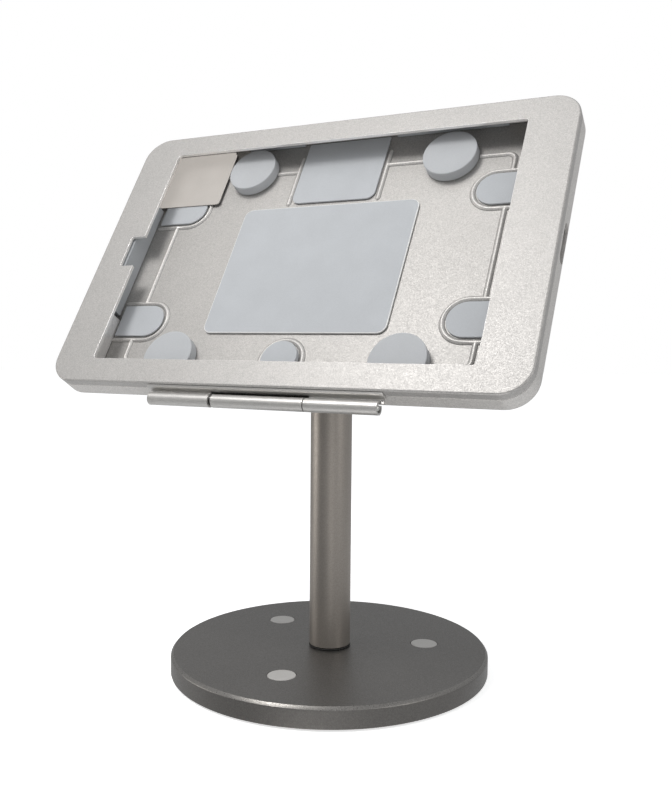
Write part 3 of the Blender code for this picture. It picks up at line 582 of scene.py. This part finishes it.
def washer(node, along, inner, at):
    low, high = span(node)
    axis = "XYZ".index(along)
    bottom, top = low[axis], high[axis]
    outer = (high[1] - low[1]) / 2
    ease = 0.18
    section = [(inner, top), (outer - ease, top), (outer, top - ease), (outer, bottom + ease),
               (outer - ease, bottom), (inner, bottom)]
    piece(node, spun(section, at, along, ring=True))


def nut(node, along, inner, at, across):
    low, high = span(node)
    axis = "XYZ".index(along)
    bottom, top = low[axis], high[axis]
    rim = corner_radius(across)
    dome = [(0.0, top), (across / 2 - 0.2, top), (rim + 0.1, top - 0.75), (rim + 0.1, bottom + 0.75),
            (across / 2 - 0.2, bottom), (0.0, bottom)]
    bore = slab([circle(inner, at)], bottom - 1.0, top + 1.0, along)
    mesh = carved(slab([hexagon(across, at)], bottom - 0.2, top + 0.2, along),
                  ("INTERSECT", spun(dome, at, along)), ("DIFFERENCE", bore))
    piece(node, mesh, edge=0.12)


def tilt_head():
    pivot = on_face("tilt")
    at = (pivot.y, pivot.z)
    centre = (0.0, pivot.y)
    low, high = span("tilt_bracket")
    front = high.z
    gauge = 3.0
    back = front - gauge
    washer_low, washer_high = span("tilt_washer_right")
    ear_outer = (middle("tilt_washer_right").x - (washer_high.x - washer_low.x) / 2) - 0.3
    ear_inner = ear_outer - gauge
    plate = slab([rounded_rectangle(high.x - low.x, high.x - low.x, 4.0, centre)], back, front)
    ears = []
    root, eye = 17.0, 11.0
    for side in (-1, 1):
        outline = [(pivot.y + root, back + 1.0), (pivot.y - root, back + 1.0)] + arc(eye, at, 200.0, 340.0, 30)
        ears.append(("UNION", slab([outline], *sorted((side * ear_inner, side * ear_outer)), "X")))
    holes = drilled(slab([circle(BOLT_HOLE, at)], -20.0, 20.0, "X"),
                    slab([circle(WASHER_HOLE, centre)], back - 2.0, front + 2.0))
    piece("tilt_bracket", carved(plate, *ears, *holes), edge=0.45)

    for side in ("left", "right"):
        washer("tilt_washer_" + side, "X", WASHER_HOLE, at)
        washer("tilt_friction_washer_" + side, "X", WASHER_HOLE, at)
    washer("swivel_friction_disc", "Z", WASHER_HOLE, centre)
    washer("swivel_washer", "Z", WASHER_HOLE, centre)
    nut("tilt_nut", "X", NUT_HOLE, at, 13.0)
    nut("swivel_nut", "Z", NUT_HOLE, centre, 13.0)

    low, high = span("tilt_bolt")
    seat = high.x - 8.0
    blank = [(0.0, high.x), (5.9, high.x), (6.5, high.x - 0.6), (6.5, seat), (BOLT_RADIUS, seat),
             (BOLT_RADIUS, low.x + 0.7), (3.4, low.x), (0.0, low.x)]
    socket = slab([hexagon(6.0, at)], high.x - 4.4, high.x + 1.0, "X")
    mesh = carved(spun(blank, at, "X"), *drilled(socket, *threads(low.x + 0.5, low.x + 8.5, at, "X")))
    piece("tilt_bolt", mesh)
    low, high = span("swivel_bolt")
    blank = [(0.0, high.z), (7.4, high.z), (7.8, high.z - 0.4), (7.8, high.z - 1.7), (BOLT_RADIUS, high.z - 1.7),
             (BOLT_RADIUS, low.z + 0.7), (3.4, low.z), (0.0, low.z)]
    mesh = carved(spun(blank, centre), *drilled(*threads(low.z + 0.3, low.z + 4.3, centre, "Z")))
    piece("swivel_bolt", mesh)


def threads(start, end, at, along):
    """Rings to cut from a bolt's end where its thread shows."""
    pitch, depth, clear, half = 1.25, 0.42, 0.2, 0.55
    rings = []
    for step in range(int((end - start) / pitch)):
        root = start + (step + 0.5) * pitch
        section = [(BOLT_RADIUS - depth, root), (BOLT_RADIUS + clear, root + half),
                   (BOLT_RADIUS + clear, root - half)]
        rings.append(spun(section, at, along, 48, ring=True))
    return rings


# Enclosure

def mounting():
    low, high = span("mount_plate")
    centre = middle("mount_plate")
    plate = slab([rounded_rectangle(high.x - low.x, high.y - low.y, 7.0, centre.xy)], low.z, high.z)
    recess_radius, recess_floor = 8.4, high.z - 2.3
    cuts = [spun([(0.0, high.z + 2.0), (recess_radius, high.z + 2.0), (recess_radius, recess_floor),
                  (BOLT_HOLE, recess_floor), (BOLT_HOLE, low.z - 2.0), (0.0, low.z - 2.0)], centre.xy)]
    hole, sink = 2.3, 4.3
    sinks = []
    for name in nodes_named("mount_screw"):
        low, high = span(name)
        place = middle(name).xy
        cuts.append(spun([(0.0, high.z + 5.0), (hole, high.z + 5.0), (hole, low.z - 5.0), (0.0, low.z - 5.0)],
                         place, steps=32))
        sinks.append(spun([(0.0, high.z + 2.0), (sink, high.z + 2.0), (sink, high.z), (hole, high.z - 1.9),
                           (hole, low.z - 3.0), (0.0, low.z - 3.0)], place, steps=32))
        blank = spun([(0.0, high.z), (3.6, high.z), (3.7, high.z - 0.12), (2.0, high.z - 1.75),
                      (2.0, low.z + 0.3), (1.7, low.z), (0.0, low.z)], place, steps=32)
        cross = [slab([rounded_rectangle(3.6, 0.7, 0.1, place, 2)], high.z - 0.9, high.z + 1.0),
                 slab([rounded_rectangle(0.7, 3.6, 0.1, place, 2)], high.z - 0.8, high.z + 1.0)]
        piece(name, carved(blank, *drilled(*cross)))
    piece("mount_plate", carved(plate, *drilled(*cuts)), edge=0.4)
    return sinks


LOCK_HOLE = 5.3
BEAD_HALF = 1.95
BEAD_HEIGHT = 1.15
BEAD_SINK = 0.07
BEAD_ROOT = -0.7
BEAD_FULLNESS = 0.85


def bead_section(scale):
    """Height of a pressed bead across its width, as (across, height), closed below the floor."""
    top = []
    steps = 16
    for step in range(steps + 1):
        across = -1.0 + 2.0 * step / steps
        swell = (0.5 + 0.5 * math.cos(math.pi * across)) ** BEAD_FULLNESS
        top.append((across * BEAD_HALF * scale, -BEAD_SINK + (BEAD_HEIGHT + BEAD_SINK) * swell * scale))
    return top + [(BEAD_HALF * scale, BEAD_ROOT), (-BEAD_HALF * scale, BEAD_ROOT)]


def bead(path, floor, domed=False):
    """A pressed bead along a path in (x, y), with its ends domed or cut square."""
    stations = []
    for step, point in enumerate(path):
        before = Vector(path[max(step - 1, 0)])
        after = Vector(path[min(step + 1, len(path) - 1)])
        stations.append((Vector(point), (after - before).normalized(), 1.0))
    if domed:
        dome = [math.radians(angle) for angle in (25.0, 45.0, 62.0, 76.0, 86.0)]
        point, along, _ = stations[0]
        start = [(point - along * BEAD_HALF * math.sin(a), along, math.cos(a)) for a in reversed(dome)]
        point, along, _ = stations[-1]
        end = [(point + along * BEAD_HALF * math.sin(a), along, math.cos(a)) for a in dome]
        stations = start + stations + end
    rings = []
    for point, along, scale in stations:
        side = Vector((along.y, -along.x))
        rings.append([(*(point + side * across), floor + height) for across, height in bead_section(scale)])
    return skinned(rings)


def beads(floor):
    pad_low, pad_high = span("pocket_pad_right_upper")
    pocket_y = (pad_low.y + pad_high.y) / 2
    pad_radius = (pad_high.y - pad_low.y) / 2
    pocket_x = pad_low.x + pad_radius
    pocket_end = pad_high.x
    beside = 2.3
    bend = pad_radius + beside
    finger_x = span("top_pad")[1].x + beside
    finger_low = span("top_pad")[0].y + 1.1
    arch_foot, finger_top = -86.0, 78.0
    round_pad = middle("bottom_round_pad")
    field_x, field_top, field_low, corner = 107.5, 68.0, -71.0, 4.5

    outlines = []
    for side in (-1, 1):
        for height in (pocket_y, -pocket_y):
            turn = arc(bend, (pocket_x, height), 90.0, 270.0, 32)
            path = [(pocket_end, height + bend)] + turn + [(pocket_end, height - bend)]
            outlines.append(bead([(side * x, y) for x, y in path], floor, domed=True))
    arch = arc(bend, round_pad.xy, 180.0, 0.0, 32)
    outlines.append(bead([(-bend, arch_foot)] + arch + [(bend, arch_foot)], floor, domed=True))
    for side in (-1, 1):
        outlines.append(bead([(side * finger_x, finger_top), (side * finger_x, finger_low)], floor, domed=True))

    ribs = []
    run_in = 0.4
    pocket_top, pocket_low = pocket_y + bend - run_in, pocket_y - bend + run_in
    for side, name in ((-1, "left"), (1, "right")):
        upper_in, upper_out = disc_span("foam_disc_top_" + name, field_top)
        lower_in, lower_out = disc_span("foam_disc_bottom_" + name, field_low)
        top_turn = arc(corner, (field_x - corner, field_top - corner), 90.0, 0.0, 10)
        low_turn = arc(corner, (field_x - corner, field_low + corner), -90.0, 0.0, 10)
        halves = [
            [(finger_x - run_in, field_top), (upper_in, field_top)],
            [(upper_out, field_top)] + top_turn + [(field_x, pocket_top)],
            [(field_x, pocket_low), (field_x, -pocket_low)],
            [(lower_out, field_low)] + low_turn + [(field_x, -pocket_top)],
            [(bend - run_in, field_low), (lower_in, field_low)],
        ]
        ribs += [bead([(side * x, y) for x, y in half], floor) for half in halves]
    return merged(outlines), merged(ribs)


PAN_CORNER = 16.0
BEND_ANGLES = [15.0 * step for step in range(7)]


def disc_span(name, height):
    """Where a rib at that height stops on each side of a foam disc, as distances from the middle."""
    centre = middle(name)
    radius = (span(name)[1].x - span(name)[0].x) / 2 + 0.35
    half = math.sqrt(radius ** 2 - (height - centre.y) ** 2)
    return abs(centre.x) - half, abs(centre.x) + half


def pan_ring(width, height, inset, depth):
    """The pans' outline, drawn in by an inset, at a depth behind the bezel's front."""
    outline = rounded_rectangle(width - 2 * inset, height - 2 * inset, max(PAN_CORNER - inset, 0.5))
    return [(x, y, -depth) for x, y in outline]


def tray(sinks):
    low, high = span("rear_tray")
    width, height = high.x - low.x, high.y - low.y
    front, back = -high.z, -low.z
    sheet, bend = SHEET, 3.0
    floor = back - sheet
    shoulder = -span("front_bezel")[0].z + 0.3
    step_in = 1.8

    def ring(inset, depth):
        return pan_ring(width, height, inset, depth)

    def round_bend(radius, inset, depth):
        turns = [math.radians(angle) for angle in BEND_ANGLES]
        return [ring(inset + radius - radius * math.sin(turn), depth + radius * math.cos(turn))
                for turn in turns]

    rings = round_bend(bend, 0.0, back - bend)
    rings += [ring(0.0, shoulder + 0.4), ring(0.12, shoulder + 0.12), ring(0.4, shoulder)]
    rings += [ring(step_in, shoulder), ring(step_in, front + 0.3), ring(step_in + 0.3, front)]
    rings += [ring(step_in + sheet - 0.3, front), ring(step_in + sheet, front + 0.3)]
    rings += [ring(step_in + sheet, shoulder + sheet), ring(sheet, shoulder + sheet)]
    rings += round_bend(bend - sheet, sheet, floor - bend + sheet)[::-1]
    pan = skinned(rings)
    outlines, ribs = beads(-floor)

    window_side, window_centre = 30.0, (-104.0, 67.0)
    slot_length, slot_width, slot_centre = 24.0, 7.0, (0.0, -10.8)
    window = slab([rounded_rectangle(window_side, window_side, 6.0, window_centre)], low.z - 2.0, -floor + 2.5)
    cable = slab([rounded_rectangle(slot_length, slot_width, 3.4, slot_centre)], high.x - 5.0, high.x + 2.0, "X")
    lock_hole = slab([circle(LOCK_HOLE, on_face("key_turn").xy)], low.z - 2.0, -floor + 2.0)
    mesh = carved(pan, ("UNION", outlines), ("UNION", ribs), *drilled(*sinks, window, cable, lock_hole))
    piece("rear_tray", mesh, sharp=42.0, look="tray_coat")


def bezel():
    low, high = span("front_bezel")
    width, height = high.x - low.x, high.y - low.y
    depth = high.z - low.z
    sheet, skirt, edge = 2.0, 1.5, 1.1
    opening = rounded_rectangle(231.6, 155.7, 2.0)
    notch_size, notch_corner, notch_centre = (18.0, 22.4), 1.3, (-116.8, 0.0)
    inside_x, inside_y = 126.5, 80.0

    def ring(inset, at_depth):
        return pan_ring(width, height, inset, at_depth)

    def on_opening(centre, normal):
        return abs(normal.z) < 0.3 and abs(centre.x) < inside_x and abs(centre.y) < inside_y

    rings = [[(x, y, 0.0) for x, y in opening]]
    for angle in reversed(BEND_ANGLES):
        turn = math.radians(angle)
        rings.append(ring(edge - edge * math.cos(turn), edge - edge * math.sin(turn)))
    rings += [ring(0.0, depth - 0.25), ring(0.25, depth), ring(skirt - 0.25, depth), ring(skirt, depth - 0.25)]
    rings += [ring(skirt, sheet + 0.4), ring(skirt + 0.4, sheet)]
    rings.append([(x, y, -sheet) for x, y in opening])
    notch = slab([rounded_rectangle(*notch_size, notch_corner, notch_centre, 8)], -6.0, 4.0)
    mesh = carved(skinned(rings, closed=True), *drilled(notch))
    # The opening's walls and the eased edges take the near-white look: a painted highlight.
    mark(mesh, on_opening)
    piece("front_bezel", mesh, edge=0.6, segments=3, sharp=42.0, rim="edge_painted_highlight")


def hinge():
    """Two long outer knuckles on the bezel's leaf, and a middle one on the tray's, rolled round one pin."""
    axis = on_face("bezel_hinge")
    gauge, barrel = 1.1, 3.6
    line = barrel - gauge / 2
    outer_low, outer_high = span("bezel_hinge_leaf")
    inner_low, inner_high = span("tray_hinge_leaf")
    half, split, front = outer_high.x, inner_high.x + 0.6, outer_high.z
    top, under = outer_high.y, outer_high.y - gauge
    leaf_y = outer_high.y - gauge / 2

    def rolled(start, end):
        turns = [(radius_at(line, angle), math.radians(angle)) for angle in range(start, end, 8)]
        return [(axis.y + radius * math.cos(turn), axis.z + radius * math.sin(turn)) for radius, turn in turns]

    # The outer leaf: a chamfered strip, a knuckle near each end, and a neck that runs on to the leaf's end
    leaf_low, leaf_high = -half + 0.5, half + 0.7
    left_roll = (leaf_low + 2.4, -split)
    right_roll = (split + 1.2, leaf_high - 1.7)
    neck_overlap, neck_inset = 0.5, 0.02
    bend = (leaf_y - axis.y - line) / 2
    neck = [(leaf_y, axis.z + 0.3)] + arc(bend, (axis.y + line + bend, axis.z), 0.0, -180.0, 14)
    section = neck + rolled(8, 321)
    strip = [(top, axis.z), (top, front - 0.1), (top - 0.1, front), (under, front - 0.9), (under, axis.z)]
    leaf = slab([strip], leaf_low, leaf_high, "X")
    changes = [("UNION", ribbon(section, gauge, *left_roll)), ("UNION", ribbon(section, gauge, *right_roll)),
               ("UNION", ribbon(neck, gauge, leaf_low + neck_inset, left_roll[0] + neck_overlap)),
               ("UNION", ribbon(neck, gauge, right_roll[1] - neck_overlap, leaf_high - neck_inset))]
    # Room in the strip for the middle knuckle
    room_back, room_front, room_corner = axis.z - 6.0, front - 3.5, 0.8
    room_low, room_high = -split - 2.2, split + 1.2
    corner_z = room_front - room_corner
    room = [(room_back, room_low), (corner_z, room_low)]
    room += arc(room_corner, (corner_z, room_low + room_corner), -90.0, 0.0, 5)
    room += arc(room_corner, (corner_z, room_high - room_corner), 0.0, 90.0, 5)
    room += [(room_back, room_high)]
    changes.append(("DIFFERENCE", slab([room], axis.y + barrel + 0.12, outer_high.y + 1.0, "Y")))
    piece("bezel_hinge_leaf", carved(leaf, *changes), edge=0.14, sharp=50.0, look="hinge_coat")

    # The tray's leaf: a plate, whose front edge lies in deep shadow behind the knuckle and is coloured near black
    # there as painted shade, and a jog down to the roll
    back, plate_front, plate_half = inner_low.z, axis.z - 2.25, split + 4.7
    middle_roll = (-split + 1.9, split + 0.6)
    rear = back + 1.0
    drop = leaf_y - (axis.y + line)
    jog = []
    for step in range(13):
        share = step / 12
        ease = 0.5 - 0.5 * math.cos(math.pi * share)
        jog.append((leaf_y - drop * ease, rear + 1.5 + (axis.z - rear - 2.2) * share))
    section = [(leaf_y, back)] + jog + rolled(0, 313)
    plate = slab([[(top, back), (top, plate_front), (under, plate_front), (under, back)]], -plate_half,
                 plate_half, "X")
    leaf = carved(plate, ("UNION", ribbon(section, gauge, *middle_roll)))
    # The plate's front face behind the middle knuckle gets the near-black look: painted shade for the dark gap.
    mark(leaf, lambda centre, normal: normal.z > 0.9 and centre.y > under - 0.05 and centre.z < axis.z - 2.0)
    piece("tray_hinge_leaf", leaf, edge=0.14, sharp=50.0, look="hinge_coat", rim="knuckle_gap_painted_shade",
          rim_on_edges=False)

    low, high = span("hinge_pin")
    radius, tip = 1.5, 0.9
    pin = [(0.0, high.x), (tip, high.x - 0.05), (radius, high.x - 0.6), (radius, low.x + 0.6),
           (tip, low.x + 0.05), (0.0, low.x)]
    piece("hinge_pin", spun(pin, (axis.y, axis.z), "X"))


def radius_at(line, angle):
    """A roll closes in a little towards its free end."""
    return line - 0.5 * max(angle - 225.0, 0.0) / 95.0


def catch_and_lock():
    low, high = span("bezel_catch")
    sheet = 1.4
    bend = 0.9
    hook = [(high.y - sheet / 2, high.z), (high.y - sheet / 2, low.z + 1.6)]
    hook += arc(bend, (high.y - sheet / 2 - bend, low.z + sheet / 2 + bend), 0.0, -90.0, 6)
    hook.append((low.y, low.z + sheet / 2))
    piece("bezel_catch", ribbon(hook, sheet, low.x, high.x), edge=0.2)

    place = on_face("key_turn").xy
    low, high = span("lock_body")
    head, barrel, flange, bore = low.z, 5.0, 8.0, 3.7
    body = [(barrel, high.z), (barrel, head + 2.1), (flange, head + 2.1), (flange, head + 1.0)]
    body += arc(1.0, (flange - 1.0, head + 1.0), 0.0, -90.0, 6)
    body += [(3.9, head), (bore, head + 0.2), (bore, high.z)]
    piece("lock_body", spun(body, place, ring=True))
    nut("lock_nut", "Z", LOCK_HOLE, place, 14.0)
    low, high = span("lock_plug")
    plug, stem, stem_root = 3.4, 1.2, high.z - 2.1
    blank = [(0.0, high.z), (stem, high.z), (stem, stem_root), (plug, stem_root), (plug, low.z + 0.25),
             (plug - 0.25, low.z), (0.0, low.z)]
    keyway = [slab([rounded_rectangle(0.9, 4.4, 0.3, place, 3)], low.z - 1.0, low.z + 5.5),
              slab([circle(0.9, (place.x, place.y - 1.2), 24)], low.z - 1.0, low.z + 5.5)]
    piece("lock_plug", carved(spun(blank, place), *drilled(*keyway)))


# Foam and covers

def pad(node, outline, low, high, edge, rim=None):
    made = piece(node, slab([outline], low, high), edge=edge, segments=3, sharp=50.0, rim=rim)


def foam_pads():
    for name in nodes_named("foam_disc"):
        low, high = span(name)
        radius = (high.x - low.x) / 2
        side = 0.7
        profile = [(0.0, high.z), (radius * 0.55, high.z - 0.01), (radius * 0.9, high.z - 0.06)]
        profile += arc(side, (radius - side, high.z - side - 0.08), 80.0, 0.0, 6)
        profile += [(radius - 0.22, (low.z + high.z) / 2), (radius - 0.05, low.z + 0.5),
                    (radius - 0.15, low.z + 0.1), (radius - 0.4, low.z), (0.0, low.z)]
        made = piece(name, spun(profile, middle(name).xy, steps=96))

    for name in nodes_named("pocket_pad"):
        low, high = span(name)
        radius = (high.y - low.y) / 2
        side = 1 if high.x > 0 else -1
        near, far = sorted((abs(low.x), abs(high.x)))
        height = (low.y + high.y) / 2
        outline = [(far, height + radius)] + arc(radius, (near + radius, height), 90.0, 270.0, 40)
        outline.append((far, height - radius))
        pad(name, [(side * x, y) for x, y in outline], low.z, high.z, 0.3)

    corner = 5.5
    low, high = span("centre_pad")
    outline = rounded_rectangle(high.x - low.x, high.y - low.y, corner, middle("centre_pad").xy)
    # The centre pad's eased edges get the near-white look: a painted highlight.
    pad("centre_pad", outline, low.z, high.z, 0.5, rim="foam_edge_painted_highlight")
    low, high = span("top_pad")
    outline = [(high.x, high.y), (low.x, high.y)]
    outline += arc(corner, (low.x + corner, low.y + corner), 180.0, 270.0, 12)
    outline += arc(corner, (high.x - corner, low.y + corner), 270.0, 360.0, 12)
    pad("top_pad", outline, low.z, high.z, 0.32)
    low, high = span("bottom_round_pad")
    pad("bottom_round_pad", circle((high.x - low.x) / 2, middle("bottom_round_pad").xy, 72), low.z, high.z, 0.45)
    for name in nodes_named("side_strip", "edge_strip"):
        low, high = span(name)
        outline = rounded_rectangle(high.x - low.x, high.y - low.y, 0.4, middle(name).xy, 3)
        pad(name, outline, low.z, high.z, 0.25)


def covers():
    low, high = span("camera_cover")
    corner, clip_x, clip_y = 2.0, 2.5, 3.0
    bottom, top = low.z - 0.25, high.z - 0.6
    outline = [(low.x, low.y)] + arc(corner, (high.x - corner, low.y + corner), -90.0, 0.0, 8)
    outline += [(high.x, high.y - clip_y), (high.x - clip_x, high.y), (low.x, high.y)]
    piece("camera_cover", slab([outline], bottom, top), edge=0.12, sharp=50.0)
    low, high = span("corner_stop_left")
    outline = rounded_rectangle(high.x - low.x, high.y - low.y, 0.5, middle("corner_stop_left").xy, 4)
    # The corner stop takes the near-white look: a painted highlight for light falling on it from the right.
    piece("corner_stop_left", slab([outline], low.z, high.z), edge=0.25, look="edge_painted_highlight")


# Stage, lights and camera

def area_light(name, toward, distance, size, power, colour=(1.0, 1.0, 1.0), only=None, never=None):
    """A round softbox.

    One made for only some pieces lights nothing else, and nothing else shades them from it. One that never
    lights some pieces lights all the others.
    """
    aim = Vector((0.0, -0.03, 0.2))
    light = bpy.data.lights.new(name, "AREA")
    light.shape = "DISK"
    light.size = size
    light.energy = power
    light.color = colour
    made = bpy.data.objects.new(name, light)
    direction = Vector(toward).normalized()
    made.location = aim + direction * distance
    made.rotation_euler = direction.to_track_quat("Z", "Y").to_euler()
    STAGE.objects.link(made)
    if only or never:
        linked = bpy.data.collections.new(name + "_pieces")
        for item in only or never:
            linked.objects.link(bpy.data.objects[item])
        made.light_linking.receiver_collection = linked
        if only:
            made.light_linking.blocker_collection = linked
        else:
            for member in linked.collection_objects:
                member.light_linking.link_state = "EXCLUDE"


def ground():
    """A pale floor that leaves no mark on the stand's own light, and is clear from below."""
    work = bmesh.new()
    bmesh.ops.create_circle(work, cap_ends=True, segments=96, radius=6.0)
    mesh = bpy.data.meshes.new("floor")
    work.to_mesh(mesh)
    work.free()
    floor = bpy.data.objects.new("floor", mesh)
    STAGE.objects.link(floor)
    look, nodes, links, shader, place = new_material("pale_floor")
    tone = ramp(nodes, links, noise(nodes, links, place, 3.0, 2.0), 0.985, 1.0)
    links.new(tinted(nodes, links, (0.93, 0.93, 0.93), tone), shader.inputs["Base Color"])
    shader.inputs["Roughness"].default_value = 0.9
    shader.inputs["Specular IOR Level"].default_value = 0.1
    shader.inputs["Emission Color"].default_value = (1.0, 1.0, 1.0, 1.0)
    shader.inputs["Emission Strength"].default_value = 0.6
    mesh.materials.append(look)
    underneath = nodes.new("ShaderNodeNewGeometry")
    clear = nodes.new("ShaderNodeBsdfTransparent")
    one_sided = nodes.new("ShaderNodeMixShader")
    links.new(underneath.outputs["Backfacing"], one_sided.inputs["Fac"])
    links.new(shader.outputs["BSDF"], one_sided.inputs[1])
    links.new(clear.outputs["BSDF"], one_sided.inputs[2])
    links.new(one_sided.outputs["Shader"], nodes["Material Output"].inputs["Surface"])
    floor.location.z = -0.0002
    floor.visible_diffuse = False
    floor.visible_glossy = False
    floor.visible_shadow = False


def surroundings():
    """Soft light from all round: darker near the floor and in the room before the stand, white behind it."""
    world = bpy.data.worlds.new("studio")
    bpy.context.scene.world = world
    world.use_nodes = True
    nodes, links = world.node_tree.nodes, world.node_tree.links
    soft = nodes["Background"]
    soft.inputs["Color"].default_value = (0.97, 0.985, 1.0, 1.0)
    direction = nodes.new("ShaderNodeTexCoord")
    height = nodes.new("ShaderNodeSeparateXYZ")
    links.new(direction.outputs["Generated"], height.inputs["Vector"])
    low = ramp(nodes, links, height.outputs["Z"], 0.64, 0.34, -0.40, 0.0)
    ceiling = ramp(nodes, links, height.outputs["Z"], 1.0, 1.6, 0.05, 0.45)
    backdrop = ramp(nodes, links, height.outputs["Y"], 1.0, 1.12, 0.25, 0.8)
    toward_room = nodes.new("ShaderNodeVectorMath")
    toward_room.operation = "DOT_PRODUCT"
    toward_room.inputs[1].default_value = (-0.48, -0.83, -0.27)
    links.new(direction.outputs["Generated"], toward_room.inputs[0])
    room = ramp(nodes, links, toward_room.outputs["Value"], 1.0, 0.5, 0.68, 0.97)
    strength = times(nodes, links, times(nodes, links, low, ceiling), times(nodes, links, backdrop, room))
    links.new(strength, soft.inputs["Strength"])
    plain = nodes.new("ShaderNodeBackground")
    plain.inputs["Color"].default_value = (1.0, 1.0, 1.0, 1.0)
    plain.inputs["Strength"].default_value = 1.0
    seen = nodes.new("ShaderNodeLightPath")
    choose = nodes.new("ShaderNodeMixShader")
    links.new(seen.outputs["Is Camera Ray"], choose.inputs["Fac"])
    links.new(soft.outputs["Background"], choose.inputs[1])
    links.new(plain.outputs["Background"], choose.inputs[2])
    links.new(choose.outputs["Shader"], nodes["World Output"].inputs["Surface"])


def lights():
    cover = ["camera_cover_detail"]
    area_light("key", (-0.28, -0.52, 0.80), 1.3, 0.5, 7.2, (1.0, 0.985, 0.965), never=cover)
    area_light("overhead", (-0.02, -0.22, 0.97), 1.2, 0.8, 2.0, (1.0, 0.995, 0.985), never=cover)
    area_light("right_side", (0.95, -0.2, 0.22), 1.1, 0.7, 1.8, (1.0, 0.98, 0.95), never=cover)
    area_light("cover_fill", (0.1, -0.8, 0.6), 1.0, 0.8, 20.5, (1.0, 0.99, 0.98), cover)
    area_light("under", (0.05, -0.55, -0.83), 1.1, 0.6, 2.6, (1.0, 0.98, 0.96))
    area_light("front_low", (0.52, -0.84, -0.16), 1.1, 0.6, 0.45, (1.0, 0.98, 0.95))
    area_light("left_side", (-0.93, -0.36, -0.05), 1.1, 0.6, 1.8, (1.0, 0.97, 0.93))
    bpy.context.scene.view_settings.view_transform = "Standard"


def camera():
    """The main view: position in millimetres, and heading, pitch and roll in degrees."""
    position = Vector((246.4, -481.1, 197.2))
    heading, pitch, roll = 26.84, 3.57, 0.49
    lens = bpy.data.cameras.new("camera")
    lens.sensor_width = 36.0
    lens.lens = 40.33
    made = bpy.data.objects.new("camera", lens)
    made.location = position * MM
    turn = Matrix.Rotation(math.radians(heading), 3, "Z") @ Matrix.Rotation(math.radians(90.0 - pitch), 3, "X")
    turn = turn @ Matrix.Rotation(math.radians(roll), 3, "Z")
    made.rotation_euler = turn.to_euler()
    STAGE.objects.link(made)
    bpy.context.scene.camera = made


base()
pole()
tilt_head()
tray(mounting())
bezel()
hinge()
catch_and_lock()
foam_pads()
covers()
ground()
surroundings()
lights()
camera()
